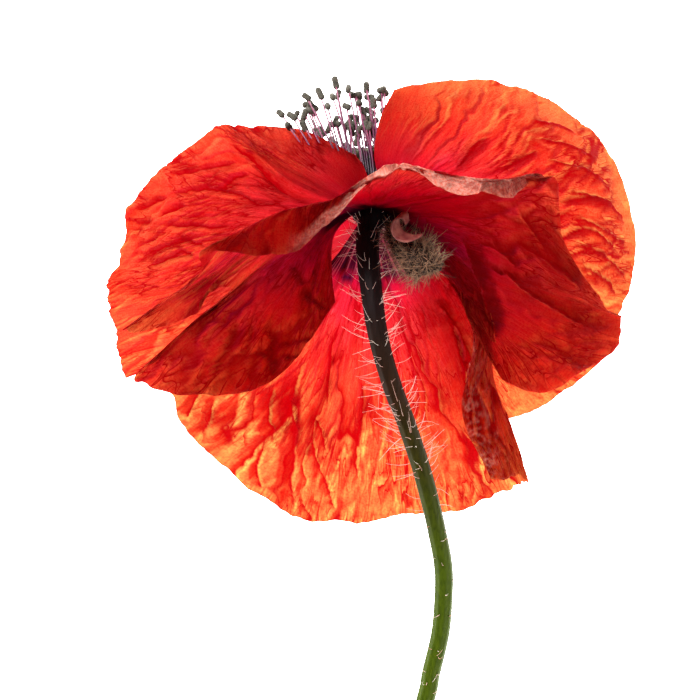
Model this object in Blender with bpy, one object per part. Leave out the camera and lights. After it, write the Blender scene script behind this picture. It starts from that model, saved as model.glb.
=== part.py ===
"""A corn poppy flower, cut with its stem and lying on its open side.

Four crumpled petals, a hairy stem swelling into the receptacle, one withered
sepal, the seed capsule and its ring of stamens. Lengths are in millimetres in
the flower's own frame, whose origin is the receptacle, with +Z up and the
stem running towards -Y. The last section moves everything so that the flower
stands on Z = 0, centred, in metres.
"""

import bpy
import math
import numpy as np

MM = 0.001

# Driving dimensions
TABLE = -16.0            # height of the table below the receptacle
PETAL_WALL = 0.34        # thickness of each petal
CLAW_RADIUS = 2.3        # where the petals leave the receptacle
STEM_RADIUS = 1.25
RECEPTACLE_RADIUS = 1.75
CAPSULE_RADIUS = 2.2
CAPSULE_TOP = 7.6        # along the flower's axis
DISC_RADIUS = 2.9
STAMEN_RINGS = 3
STAMENS_PER_RING = 16
STAMEN_LENGTH = 15.0
FILAMENT_RADIUS = 0.13
ANTHER_LENGTH = 1.5
ANTHER_RADIUS = 0.33

for old in list(bpy.data.objects):
    bpy.data.objects.remove(old)

# The flower's axis runs from the stem to the stamens, down towards the table.
AXIS = np.array([-0.05, 0.865, -0.5])
AXIS = AXIS / np.linalg.norm(AXIS)
UPWARD = np.array([0.0, 0.5, 0.866])
UPWARD = UPWARD - AXIS * (UPWARD @ AXIS)
UPWARD = UPWARD / np.linalg.norm(UPWARD)
SIDEWAYS = np.cross(AXIS, UPWARD)
SIDEWAYS = SIDEWAYS * np.sign(SIDEWAYS[0])


def around_axis(degrees, radius, along):
    """A point at this angle (0 is upward, 90 sideways), radius and distance along the axis."""
    turn = math.radians(degrees)
    return radius * (math.cos(turn) * UPWARD + math.sin(turn) * SIDEWAYS) + along * AXIS


def through(points, at):
    """The Catmull-Rom curve through the points, read at positions 0 to len - 1."""
    points = np.asarray(points, float)
    ends = np.concatenate([2 * points[:1] - points[1:2], points, 2 * points[-1:] - points[-2:-1]])
    at = np.clip(at, 0, len(points) - 1 - 1e-9)
    left = at.astype(int)
    t = (at - left).reshape(-1, *([1] * (points.ndim - 1)))
    a, b, c, d = ends[left], ends[left + 1], ends[left + 2], ends[left + 3]
    return 0.5 * (2 * b + (c - a) * t + (2 * a - 5 * b + 4 * c - d) * t**2 + (3 * b - a - 3 * c + d) * t**3)


def material(name, colour, roughness):
    made = bpy.data.materials.new(name)
    made.use_nodes = True
    shader = made.node_tree.nodes["Principled BSDF"]
    shader.inputs["Base Color"].default_value = (*colour, 1.0)
    shader.inputs["Roughness"].default_value = roughness
    shader.inputs["Metallic"].default_value = 0.0
    return made


def add_mesh(name, points, faces, surface):
    """One closed mesh, turned to face outwards."""
    points = np.asarray(points, float) * MM
    volume = 0.0
    for face in faces:
        for second, third in zip(face[1:-1], face[2:]):
            volume += np.dot(points[face[0]], np.cross(points[second], points[third]))
    if volume < 0:
        faces = [face[::-1] for face in faces]
    mesh = bpy.data.meshes.new(name)
    mesh.from_pydata(points.tolist(), [], faces)
    mesh.shade_smooth()
    mesh.materials.append(surface)
    made = bpy.data.objects.new(name, mesh)
    bpy.context.scene.collection.objects.link(made)
    return made


def grid_faces(rows, columns, start):
    faces = []
    for i in range(rows - 1):
        for j in range(columns - 1):
            a = start + i * columns + j
            faces.append((a, a + 1, a + columns + 1, a + columns))
    return faces


def thin_shell(name, grid, wall, surface):
    """A sheet of even thickness: the grid pushed both ways along its normals, its rim closed."""
    rows, columns = grid.shape[:2]
    normal = np.cross(np.gradient(grid, axis=0), np.gradient(grid, axis=1))
    normal = normal / np.linalg.norm(normal, axis=2)[:, :, None]
    points = np.concatenate([(grid + normal * wall / 2).reshape(-1, 3), (grid - normal * wall / 2).reshape(-1, 3)])
    half = rows * columns
    faces = grid_faces(rows, columns, 0)
    faces += [face[::-1] for face in grid_faces(rows, columns, half)]
    rim = [i * columns for i in range(rows)]
    rim += [(rows - 1) * columns + j for j in range(1, columns)]
    rim += [i * columns + columns - 1 for i in range(rows - 2, -1, -1)]
    rim += [j for j in range(columns - 2, 0, -1)]
    for a, b in zip(rim, rim[1:] + rim[:1]):
        faces.append((a, b, b + half, a + half))
    return add_mesh(name, points, faces, surface)


def tube(name, path, radii, sides, surface):
    """A round bar along the path with its own radius at each point and flat ends."""
    path = np.asarray(path, float)
    along = np.gradient(path, axis=0)
    along = along / np.linalg.norm(along, axis=1)[:, None]
    side = np.cross(along, SIDEWAYS + 0.31 * UPWARD)
    side = side / np.linalg.norm(side, axis=1)[:, None]
    other = np.cross(along, side)
    turn = np.arange(sides) * 2 * math.pi / sides
    ring = np.cos(turn)[None, :, None] * side[:, None] + np.sin(turn)[None, :, None] * other[:, None]
    points = (path[:, None] + np.asarray(radii, float)[:, None, None] * ring).reshape(-1, 3)
    faces = []
    for i in range(len(path) - 1):
        for j in range(sides):
            k = (j + 1) % sides
            faces.append((i * sides + j, i * sides + k, (i + 1) * sides + k, (i + 1) * sides + j))
    faces.append(tuple(range(sides - 1, -1, -1)))
    last = (len(path) - 1) * sides
    faces.append(tuple(last + j for j in range(sides)))
    return add_mesh(name, points, faces, surface)


def petal(name, ribs, first_angle, last_angle, along, folds, depth, across, outwards, surface):
    """A petal through its ribs, which run from the claw to the rim, with shallow pleats.

    Each rib starts on the claw, an arc round the receptacle between the two
    angles. The pleats deepen from nothing at the claw to `depth` near the rim.
    """
    angles = np.linspace(first_angle, last_angle, len(ribs))
    cage = np.array([[around_axis(angle, CLAW_RADIUS, along), *rib] for angle, rib in zip(angles, ribs)])
    steps = np.linspace(0, cage.shape[1] - 1, outwards)
    rows = through(np.swapaxes(cage, 0, 1), steps)
    grid = through(np.swapaxes(rows, 0, 1), np.linspace(0, len(ribs) - 1, across))
    normal = np.cross(np.gradient(grid, axis=0), np.gradient(grid, axis=1))
    normal = normal / np.linalg.norm(normal, axis=2)[:, :, None]
    u = np.linspace(0, 1, across)[:, None]
    v = np.linspace(0, 1, outwards)[None, :]
    pleat = np.sin(2 * math.pi * folds * u + 1.5 * v) + 0.5 * np.sin(2 * math.pi * folds * 1.7 * u - v)
    grid = grid + normal * (depth * pleat * np.clip(v - 0.2, 0, 1) ** 1.2)[:, :, None]
    grid[:, :, 2] = np.maximum(grid[:, :, 2], TABLE + PETAL_WALL / 2)
    return thin_shell(name, grid, PETAL_WALL, surface)


# Petal material: poppy red, silky and thin.
PETAL = material("petal", (0.80, 0.055, 0.02), 0.55)

# Back petal: hangs from the receptacle and lies on the table beyond it, its
# right-hand margin rolled over on itself.
BACK_RIBS = [
    [(-5.3, -6.4, -4.5), (-13.1, -13.3, -9.0), (-20.3, -18.5, -12.5), (-26.4, -22.8, -14.2)],
    [(-4.7, -7.4, -5.5), (-10.5, -17.2, -11.0), (-17.0, -24.3, -14.0), (-23.5, -29.2, -15.6)],
    [(-3.4, -9.4, -8.0), (-7.3, -20.4, -13.0), (-11.2, -28.2, -15.0), (-17.0, -34.7, -15.9)],
    [(-2.1, -10.7, -8.5), (-4.7, -22.4, -13.5), (-7.3, -30.8, -15.2), (-9.9, -39.6, -15.9)],
    [(-0.7, -11.1, -9.0), (-1.4, -23.0, -14.0), (-1.8, -31.5, -15.5), (-2.7, -40.2, -15.9)],
    [(1.2, -11.1, -8.8), (2.5, -22.4, -13.5), (3.8, -30.8, -15.2), (4.4, -39.1, -15.9)],
    [(2.7, -11.1, -7.0), (6.4, -21.1, -11.0), (9.0, -29.5, -13.5), (11.6, -38.4, -15.2)],
    [(4.2, -10.4, -5.5), (9.6, -19.1, -8.5), (13.5, -26.9, -11.0), (17.8, -35.8, -13.4)],
    [(5.3, -9.5, -4.6), (13.1, -16.5, -7.0), (15.5, -23.7, -9.5), (20.2, -34.6, -12.5)],
    [(5.6, -9.2, -4.0), (13.7, -16.2, -5.5), (15.2, -23.0, -7.5), (19.6, -33.9, -11.2)],
    [(5.6, -9.2, -3.6), (13.1, -17.2, -5.0), (11.8, -25.6, -7.0), (15.5, -34.1, -10.5)],
]
petal("petal_back", BACK_RIBS, 232, 128, -0.3, 6.0, 0.35, 42, 12, PETAL)

# Right petal: an inner petal, a broad dome that comes down to the table all
# along its outer rim.
RIGHT_RIBS = [
    [(1.0, 4.0, 1.4), (0.4, 7.9, 1.8), (1.2, 12.3, 0.5), (2.9, 15.9, -2.5)],
    [(2.7, 4.3, 1.8), (4.4, 8.8, 2.0), (7.0, 13.4, -0.2), (9.0, 17.2, -5.5)],
    [(5.1, 4.0, 1.6), (9.6, 8.2, 1.6), (14.2, 13.1, -2.5), (17.4, 16.8, -9.5)],
    [(6.4, 3.0, 1.2), (14.2, 6.2, 0.8), (21.3, 10.8, -4.5), (25.9, 13.4, -13.0)],
    [(7.7, 1.0, 0.5), (16.8, 2.3, 0.0), (26.5, 4.9, -5.5), (32.1, 6.2, -14.8)],
    [(7.9, -1.2, 0.0), (17.4, -2.2, -1.5), (28.5, -3.2, -7.0), (34.7, -3.9, -15.9)],
    [(7.4, -3.5, -1.5), (16.8, -7.4, -5.0), (26.5, -11.3, -10.0), (32.5, -12.9, -15.9)],
    [(6.4, -5.1, -3.0), (14.2, -11.3, -9.0), (23.3, -17.2, -13.0), (29.8, -19.1, -15.9)],
    [(5.3, -6.4, -5.0), (11.6, -13.9, -11.5), (18.7, -20.4, -14.5), (23.0, -24.7, -15.9)],
    [(4.3, -7.2, -6.5), (9.0, -14.6, -12.5), (13.5, -21.7, -15.0), (16.8, -27.2, -15.9)],
]
petal("petal_right", RIGHT_RIBS, 35, 132, 0.6, 4.0, 0.2, 32, 12, PETAL)

# Left petal: the inner petal opposite, domed, folded along a valley in its
# upper half, and down on the table along its outer rim.
LEFT_RIBS = [
    [(-0.1, 3.0, 1.8), (-0.4, 4.5, 2.2), (-1.0, 6.1, 1.8), (-2.0, 7.5, 0.8)],
    [(-2.5, 2.7, 1.6), (-4.7, 4.9, 2.0), (-6.9, 7.5, 1.6), (-8.6, 10.7, -2.6)],
    [(-4.0, 2.2, 1.3), (-9.2, 4.9, 1.5), (-14.2, 8.2, -0.4), (-17.3, 11.6, -7.0)],
    [(-4.7, 1.4, 0.0), (-10.3, 3.4, -1.8), (-16.4, 7.5, -4.0), (-20.7, 11.1, -11.0)],
    [(-5.3, 0.7, 1.0), (-12.5, 2.3, 1.5), (-20.3, 4.3, -4.0), (-26.8, 6.9, -14.0)],
    [(-5.6, -0.3, 0.5), (-13.8, -0.3, 1.5), (-23.5, -0.3, -4.5), (-31.6, 1.3, -15.4)],
    [(-5.6, -1.2, 0.0), (-14.4, -3.2, 1.0), (-24.8, -4.8, -5.0), (-32.9, -5.9, -15.9)],
    [(-5.3, -2.2, -1.0), (-14.2, -5.5, 0.0), (-24.8, -8.7, -6.0), (-34.5, -10.0, -15.9)],
    [(-4.9, -3.5, -2.0), (-13.4, -7.2, -1.5), (-23.5, -11.3, -7.5), (-33.9, -13.7, -15.9)],
    [(-4.5, -4.5, -5.0), (-12.5, -9.4, -9.5), (-22.2, -14.6, -14.0), (-32.9, -17.2, -15.9)],
    [(-4.0, -5.5, -7.5), (-11.2, -11.3, -13.0), (-20.3, -17.2, -15.5), (-32.0, -21.4, -15.9)],
]
petal("petal_left", LEFT_RIBS, -35, -132, 0.6, 4.0, 0.2, 36, 12, PETAL)

# Front petal: the outer petal on top, a hood whose middle stands up with a
# turned-back margin and whose two lobes hang over the side petals.
FRONT_RIBS = [
    [(-3.0, -0.7, 1.8), (-4.9, -3.0, 1.0), (-5.2, -6.4, 0.0), (-5.1, -9.0, -1.2), (-4.8, -11.1, -2.5)],
    [(-3.4, -0.8, 2.0), (-6.0, -4.2, 1.2), (-7.7, -9.4, -0.5), (-9.9, -15.2, -3.0), (-12.2, -20.8, -5.5)],
    [(-3.6, -0.7, 2.3), (-7.3, -3.8, 2.0), (-11.2, -9.4, 0.3), (-16.4, -16.5, -3.5), (-21.6, -23.4, -7.5)],
    [(-3.9, -0.4, 2.8), (-8.2, -3.2, 3.0), (-13.8, -7.7, 1.8), (-21.6, -14.6, -2.5), (-30.3, -21.4, -9.0)],
    [(-4.0, -0.1, 3.5), (-8.6, -2.7, 4.5), (-14.2, -6.4, 4.2), (-21.6, -11.7, 1.5), (-30.3, -20.2, -7.0)],
    [(-4.3, 0.1, 4.5), (-9.2, -1.7, 6.0), (-15.1, -4.4, 5.0), (-20.3, -9.4, 1.0), (-30.0, -14.7, -7.0)],
    [(-4.4, 0.4, 5.5), (-9.2, -0.9, 9.0), (-14.2, -2.0, 9.5), (-19.0, -3.5, 7.0), (-21.6, -5.5, 4.0)],
    [(-4.3, 0.7, 6.5), (-6.9, 0.1, 11.0), (-10.5, 0.1, 13.5), (-13.8, -1.2, 13.0), (-14.7, -5.7, 10.0)],
    [(-3.8, 0.9, 7.0), (-5.6, 0.9, 12.0), (-7.7, 0.9, 15.0), (-9.2, -0.1, 15.0), (-9.9, -4.8, 12.5)],
    [(-2.7, 1.2, 7.5), (-3.8, 1.7, 13.0), (-4.5, 1.7, 16.5), (-4.9, 1.2, 17.0), (-5.3, -1.4, 15.0)],
    [(-1.2, 1.4, 7.5), (-1.2, 2.7, 13.0), (-0.7, 3.8, 17.0), (0.0, 4.4, 18.3), (0.4, 3.8, 17.5)],
    [(0.4, 1.4, 7.5), (1.4, 3.0, 13.0), (2.9, 4.5, 17.0), (4.2, 5.7, 19.0), (4.8, 5.1, 18.3)],
    [(2.0, 1.3, 7.2), (4.0, 2.7, 12.0), (6.6, 4.0, 16.5), (9.0, 4.8, 19.0), (10.3, 2.2, 18.0)],
    [(3.1, 1.0, 6.5), (6.4, 2.2, 11.0), (10.3, 3.2, 15.0), (14.2, 4.2, 17.5), (14.4, 2.2, 16.5)],
    [(3.8, 0.8, 6.0), (7.9, 2.0, 9.5), (12.9, 3.0, 13.0), (17.4, 4.2, 15.5), (18.1, 2.0, 14.0)],
    [(4.3, 0.4, 5.0), (9.0, 1.4, 8.0), (14.4, 2.7, 11.0), (20.0, 4.2, 13.0), (23.3, 4.7, 12.0)],
    [(4.5, -0.1, 4.0), (9.6, -0.1, 6.5), (15.7, -0.4, 8.5), (21.3, -1.2, 8.0), (24.6, -3.0, 6.0)],
    [(4.5, -0.8, 3.3), (9.9, -2.2, 5.0), (16.8, -4.8, 5.5), (23.9, -7.7, 3.0), (29.5, -10.8, -2.0)],
    [(4.3, -1.4, 2.8), (9.8, -4.2, 3.5), (16.4, -8.1, 3.0), (24.6, -11.3, -1.5), (32.6, -13.1, -8.0)],
    [(4.0, -2.1, 2.2), (9.5, -5.9, 2.0), (15.7, -11.3, 0.5), (23.3, -15.9, -4.0), (30.4, -18.1, -10.0)],
    [(3.8, -2.6, 1.6), (9.2, -7.2, 0.8), (14.8, -13.7, -2.0), (19.4, -18.5, -5.0), (22.8, -22.8, -9.0)],
    [(3.5, -3.0, 1.0), (9.0, -7.7, -0.2), (12.9, -13.7, -3.0), (14.4, -17.2, -4.5), (15.5, -19.9, -6.0)],
    [(3.5, -2.7, 2.0), (10.3, -4.8, 2.0), (11.8, -10.0, 0.0), (13.9, -14.6, -1.5), (15.5, -16.2, -3.0)],
]
petal("petal_front", FRONT_RIBS, -70, 70, -0.3, 9.0, 0.15, 60, 15, PETAL)

# Stem: one grown piece with the receptacle, a short swelling that carries the
# petals, and a plain cut at its lower end, which lies on the table.
STEM_LINE = [
    (-0.1, -1.4, 0.9), (-0.5, -4.0, 1.9), (0.0, -10.0, 3.5), (1.0, -16.5, 4.0), (2.7, -22.4, 3.6),
    (4.4, -26.9, 2.8), (6.4, -32.8, 1.2), (7.9, -38.4, -0.6), (8.7, -42.0, -2.0), (9.4, -45.8, -3.4),
    (9.5, -49.3, -4.8), (9.1, -54.7, -6.9), (7.9, -60.2, -9.0), (7.3, -63.3, -10.0), (4.4, -73.7, -13.0),
    (2.7, -88.0, -14.75),
]


def stem():
    green = material("stem", (0.10, 0.19, 0.03), 0.6)
    top = [around_axis(0, 0, along) for along in (0.85, 0.45, -0.1, -0.7)]
    line = through(STEM_LINE, np.linspace(0, len(STEM_LINE) - 1, 31))
    radii = np.full(len(line), STEM_RADIUS)
    head = (1.45, RECEPTACLE_RADIUS, RECEPTACLE_RADIUS, 1.55)
    return tube("stem", [*top, *line], [*head, *radii], 14, green)


stem()


# Pistil: the ribbed seed capsule with its flat stigma disc, one grown piece,
# standing clear of the receptacle's top by a hair.
def pistil():
    green = material("pistil", (0.16, 0.22, 0.07), 0.6)
    alongs = [1.15, 1.6, 2.4, 3.6, 5.0, 6.4, CAPSULE_TOP, CAPSULE_TOP + 0.1, CAPSULE_TOP + 0.5, CAPSULE_TOP + 0.9]
    shares = [0.3, 0.4, 0.56, 0.8, 0.96, 1.0, 0.86]
    radii = [CAPSULE_RADIUS * share for share in shares]
    radii += [DISC_RADIUS, DISC_RADIUS, DISC_RADIUS * 0.45]
    return tube("pistil", [around_axis(0, 0, along) for along in alongs], radii, 20, green)


pistil()


# Sepal: the one withered sepal that did not drop, a narrow boat rolled up
# beside the top of the stem.
def sepal():
    brown = material("sepal", (0.24, 0.15, 0.07), 0.75)
    spine = [(2.0, -1.1, 1.95), (3.1, -3.5, 4.2), (4.9, -5.2, 6.6), (7.0, -6.1, 7.4), (9.2, -7.0, 6.8)]
    halves = [0.35, 1.2, 1.85, 1.8, 0.5]
    count = 11
    line = through(spine, np.linspace(0, 4, count))
    half = through(np.array(halves)[:, None], np.linspace(0, 4, count))[:, 0]
    along = np.gradient(line, axis=0)
    along = along / np.linalg.norm(along, axis=1)[:, None]
    out = np.array([-0.45, 0.35, 0.82])
    side = np.cross(along, out)
    side = side / np.linalg.norm(side, axis=1)[:, None]
    up = np.cross(side, along)
    turn = np.linspace(-2.0, 2.0, 12)
    arc = np.sin(turn)[None, :, None] * side[:, None] + np.cos(turn)[None, :, None] * up[:, None]
    grid = line[:, None] + half[:, None, None] * (arc - up[:, None])
    return thin_shell("sepal", grid, 0.3, brown)


sepal()


# Stamens: a ring of dark anthers on thin purple filaments round the capsule.
# Those on the table's side lean out furthest; the petals above press the rest in.
def stamen(number, base, tip, bow, lean, surface):
    """A filament bowed outwards, ending in an anther that is two blunt lobes long."""
    steps = np.array([0.0, 0.15, 0.4, 0.7, 1.0])[:, None]
    filament = base + (tip - base) * steps + bow * np.sin(math.pi * steps**0.7)
    heading = (filament[-1] - filament[-2]) / np.linalg.norm(filament[-1] - filament[-2]) + lean
    heading = heading / np.linalg.norm(heading)
    marks = np.array([0.15, 0.4, 0.85, 1.0])[:, None]
    anther = filament[-1] + heading * ANTHER_LENGTH * marks
    radii = [FILAMENT_RADIUS] * 5 + [ANTHER_RADIUS * share for share in (0.9, 1.0, 0.9, 0.4)]
    return tube(f"stamen_{number:02d}", [*filament, *anther], radii, 5, surface)


def stamens():
    dark = material("stamen", (0.05, 0.035, 0.055), 0.7)
    rng = np.random.default_rng(11)
    number = 0
    for ring in range(STAMEN_RINGS):
        for place in range(STAMENS_PER_RING):
            number += 1
            turn = (place + ring / 3) * 2 * math.pi / STAMENS_PER_RING
            across = math.cos(turn) * SIDEWAYS + math.sin(turn) * UPWARD
            raised = math.sin(turn)
            squeeze = 1 + 0.1 * abs(math.cos(turn)) - (0.68 * raised if raised > 0 else -0.4 * raised)
            spread = math.radians((22 + 9 * ring) * squeeze)
            base = (1.15 + 0.34 * ring) * across + (1.25 - 0.05 * ring) * AXIS
            heading = math.cos(spread) * AXIS + math.sin(spread) * across - 0.07 * UPWARD
            length = STAMEN_LENGTH * (0.87 + 0.26 * rng.random())
            if heading[2] < 0:
                length = min(length, (TABLE + 1.2 - base[2]) / heading[2] - ANTHER_LENGTH)
            bow = across * (1.5 - 0.25 * ring)
            lean = rng.normal(0, 0.35, 3)
            stamen(number, base, base + heading * length, bow, lean, dark)


stamens()

# Everything moves so that the flower stands on Z = 0 and its box is centred on the origin.
corners = np.array([vertex.co for made in bpy.data.objects for vertex in made.data.vertices])
low = corners.min(axis=0)
high = corners.max(axis=0)
shift = np.array([-(low[0] + high[0]) / 2, -(low[1] + high[1]) / 2, -low[2]])
for made in bpy.data.objects:
    values = np.array([vertex.co for vertex in made.data.vertices]) + shift
    made.data.vertices.foreach_set("co", values.ravel())
    made.data.update()
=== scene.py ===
import bpy
import numpy as np
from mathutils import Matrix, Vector


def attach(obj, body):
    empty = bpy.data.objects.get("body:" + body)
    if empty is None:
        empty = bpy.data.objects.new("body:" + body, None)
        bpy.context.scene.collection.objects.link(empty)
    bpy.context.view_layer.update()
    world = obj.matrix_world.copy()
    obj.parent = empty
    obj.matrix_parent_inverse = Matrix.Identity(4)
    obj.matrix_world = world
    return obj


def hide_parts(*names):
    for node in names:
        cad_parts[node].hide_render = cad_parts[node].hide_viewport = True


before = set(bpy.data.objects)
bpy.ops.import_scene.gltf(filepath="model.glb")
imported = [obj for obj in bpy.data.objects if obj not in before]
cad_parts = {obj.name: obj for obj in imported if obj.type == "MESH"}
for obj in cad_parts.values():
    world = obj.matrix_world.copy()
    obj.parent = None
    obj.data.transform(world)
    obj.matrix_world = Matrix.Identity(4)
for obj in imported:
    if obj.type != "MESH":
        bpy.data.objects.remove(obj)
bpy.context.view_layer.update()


# ----------------------------------------
# Camera. It looks straight down on the flower, which lies on its open side
# with the cut stem towards the viewer, from far enough to flatten it.
# ----------------------------------------
MM = 0.001
HEAD = np.array([-0.1, 35.14, 16.0])  # the receptacle, in the row's frame, in mm
VIEW_CENTRE = (-2.73, -17.81)  # the middle of the view, from the receptacle, in mm
VIEW_WIDTH = 91.0
EYE_HEIGHT = 900.0
SENSOR = 36.0

camera_data = bpy.data.cameras.new("camera")
camera = bpy.data.objects.new("camera", camera_data)
bpy.context.scene.collection.objects.link(camera)
bpy.context.scene.camera = camera
camera.location = Vector((HEAD[0] + VIEW_CENTRE[0], HEAD[1] + VIEW_CENTRE[1], HEAD[2] + EYE_HEIGHT)) * MM
camera_data.sensor_width = SENSOR
camera_data.lens = SENSOR * EYE_HEIGHT / VIEW_WIDTH
camera_data.clip_start = 0.01
camera_data.clip_end = 20.0
bpy.context.scene.view_settings.view_transform = "Standard"


# ----------------------------------------
# Table and lights. The flower lies on a pale table that glows evenly from
# within, so its petals are lit from behind, under two soft overhead lamps.
# ----------------------------------------
TABLE_GLOW = 4.3
TABLE_SIDE = 6.0
ROOM_LIGHT = 0.2
KEY_POWER, FILL_POWER = 8.0, 2.4  # watts


def flat_square(name, side):
    """A square of this side on the ground plane, its face upward."""
    corners = [(x * side / 2, y * side / 2, 0) for x, y in ((-1, -1), (1, -1), (1, 1), (-1, 1))]
    mesh = bpy.data.meshes.new(name)
    mesh.from_pydata(corners, [], [(0, 1, 2, 3)])
    made = bpy.data.objects.new(name, mesh)
    bpy.context.scene.collection.objects.link(made)
    return made


table = flat_square("table", TABLE_SIDE)
glow = bpy.data.materials.new("table_glow")
glow.use_nodes = True
glow_shader = glow.node_tree.nodes["Principled BSDF"]
glow_shader.inputs["Base Color"].default_value = (0.85, 0.85, 0.85, 1.0)
glow_shader.inputs["Roughness"].default_value = 0.6
glow_shader.inputs["Emission Color"].default_value = (1.0, 0.985, 0.965, 1.0)
glow_shader.inputs["Emission Strength"].default_value = TABLE_GLOW
table.data.materials.append(glow)

world = bpy.data.worlds.new("room")
world.use_nodes = True
world.node_tree.nodes["Background"].inputs["Color"].default_value = (1.0, 1.0, 1.0, 1.0)
world.node_tree.nodes["Background"].inputs["Strength"].default_value = ROOM_LIGHT
bpy.context.scene.world = world


def soft_lamp(name, place, side, power):
    """A square lamp of this side in metres at the place, aimed at the flower's head."""
    lamp = bpy.data.lights.new(name, "AREA")
    lamp.size = side
    lamp.energy = power
    made = bpy.data.objects.new(name, lamp)
    made.location = Vector(place)
    made.rotation_mode = "QUATERNION"
    made.rotation_quaternion = (Vector(HEAD * MM) - made.location).to_track_quat("-Z", "Y")
    bpy.context.scene.collection.objects.link(made)


soft_lamp("lamp_key", (-0.30, 0.40, 0.55), 0.20, KEY_POWER)
soft_lamp("lamp_fill", (0.45, -0.30, 0.50), 0.45, FILL_POWER)


# ----------------------------------------
# Petals. Living tissue a tenth of a millimetre thick, silky, still creased
# from the bud, orange-red where it is thin and crimson towards the claw.
# The back petal hangs from the receptacle and lies on the table beyond it,
# with its right-hand margin rolled over.
# ----------------------------------------
AXIS = np.array([-0.05, 0.865, -0.5])  # from the stem to the stamens
AXIS = AXIS / np.linalg.norm(AXIS)
UPWARD = np.array([0.0, 0.5, 0.866])
UPWARD = UPWARD - AXIS * (UPWARD @ AXIS)
UPWARD = UPWARD / np.linalg.norm(UPWARD)
SIDEWAYS = np.cross(AXIS, UPWARD)
SIDEWAYS = SIDEWAYS * np.sign(SIDEWAYS[0])
CLAW_RADIUS = 1.5
PETAL_WALL = 0.12
LIT_FACET_SIDE = np.array([-0.60, 0.80, 0.0])  # facets that lean this way get painted light, those that lean away painted shade
FACET_SHARE = 4.5
LEAN_START = 14  # how far from the claw the folds begin to lean, in mm
CLAW_REACH = 20.0  # how far the claw's own colours are measured, in mm
SHORTEST_WHOLE = 22.0  # shorter ribs take the tones of one this long, in mm
TABLE_LEVEL = -HEAD[2]


def around_axis(degrees, radius, along):
    """Points on a circle round the flower's axis: radius (cos a upward + sin a sideways) + along the axis."""
    turn = np.radians(np.asarray(degrees, float))
    ring = np.cos(turn)[..., None] * UPWARD + np.sin(turn)[..., None] * SIDEWAYS
    return np.asarray(radius, float)[..., None] * ring + np.asarray(along, float)[..., None] * AXIS


def spline(before, start, end, after, t):
    """The Catmull-Rom cubic from start to end: its slope at each is half its neighbours' chord."""
    rise = end - before
    curve = 2 * before - 5 * start + 4 * end - after
    twist = 3 * start - before - 3 * end + after
    return start + 0.5 * (rise * t + curve * t**2 + twist * t**3)


def through(points, at):
    """The Catmull-Rom curve through the points, read at these places counted in points from the first."""
    points = np.asarray(points, float)
    ends = np.concatenate([2 * points[:1] - points[1:2], points, 2 * points[-1:] - points[-2:-1]])
    left = np.clip(at, 0, len(points) - 1 - 1e-9).astype(int)
    t = (at - left).reshape(-1, *([1] * (points.ndim - 1)))
    return spline(ends[left], ends[left + 1], ends[left + 2], ends[left + 3], t)


def waves(x, y, seed):
    """Gradient noise: a random slope at each whole-number corner, blended by 6t^5 - 15t^4 + 10t^3."""
    cell_x, cell_y = np.floor(x).astype(np.int64), np.floor(y).astype(np.int64)
    part_x, part_y = x - cell_x, y - cell_y

    def corner(i, j):
        mixed = ((cell_x + i) * 374761393 + (cell_y + j) * 668265263 + seed * 982451653) & 0xFFFFFFFF
        mixed = ((mixed ^ (mixed >> 13)) * 1274126177) & 0xFFFFFFFF
        turn = (mixed ^ (mixed >> 16)) * (2 * np.pi / 2**32)
        return np.cos(turn) * (part_x - i) + np.sin(turn) * (part_y - j)

    fade_x = part_x**3 * (part_x * (part_x * 6 - 15) + 10)
    fade_y = part_y**3 * (part_y * (part_y * 6 - 15) + 10)
    low = corner(0, 0) * (1 - fade_x) + corner(1, 0) * fade_x
    high = corner(0, 1) * (1 - fade_x) + corner(1, 1) * fade_x
    return low * (1 - fade_y) + high * fade_y


def fold(place, hard, soft):
    """A fold where place is zero: 1 there, falling evenly to 0 over soft above it and over hard below."""
    return np.clip(1 - np.where(place > 0, place / soft, -place / hard), 0, 1)


def laid_fold(points, line, seed):
    """How far points lie, in plan, from a fold's line, positive on its left, and its strength along the line.

    The line is the Catmull-Rom curve through its points, read at 40 places.
    The distance is to the nearest of them, and the strength fades at both ends.
    """
    share = np.linspace(0, 1, 40)
    curve = through(line, share * (len(line) - 1))
    course = np.gradient(curve, axis=0)
    course = course / np.linalg.norm(course, axis=1)[:, None]
    place = np.full(points.shape[:2], 99.0)
    nearest = np.zeros(points.shape[:2], int)
    for step in range(len(curve)):
        away = np.hypot(points[:, :, 0] - curve[step, 0], points[:, :, 1] - curve[step, 1])
        nearest = np.where(away < place, step, nearest)
        place = np.minimum(place, away)
    off = points[:, :, :2] - curve[nearest]
    left = course[nearest, 0] * off[:, :, 1] - course[nearest, 1] * off[:, :, 0]
    along = np.abs(course[nearest, 0] * off[:, :, 0] + course[nearest, 1] * off[:, :, 1])
    kink = 0.22 * waves(points[:, :, 0] / 0.9, points[:, :, 1] / 0.9, seed)
    fade = np.clip(np.minimum(share, 1 - share)[nearest] * 5, 0, 1) * np.clip(2 - along, 0, 1)
    return left + kink, fade


def normals_of(grid):
    """Unit normals of a grid of points: the cross product of its two directions."""
    normal = np.cross(np.gradient(grid, axis=0), np.gradient(grid, axis=1))
    return normal / np.maximum(np.linalg.norm(normal, axis=2), 1e-12)[:, :, None]


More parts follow.
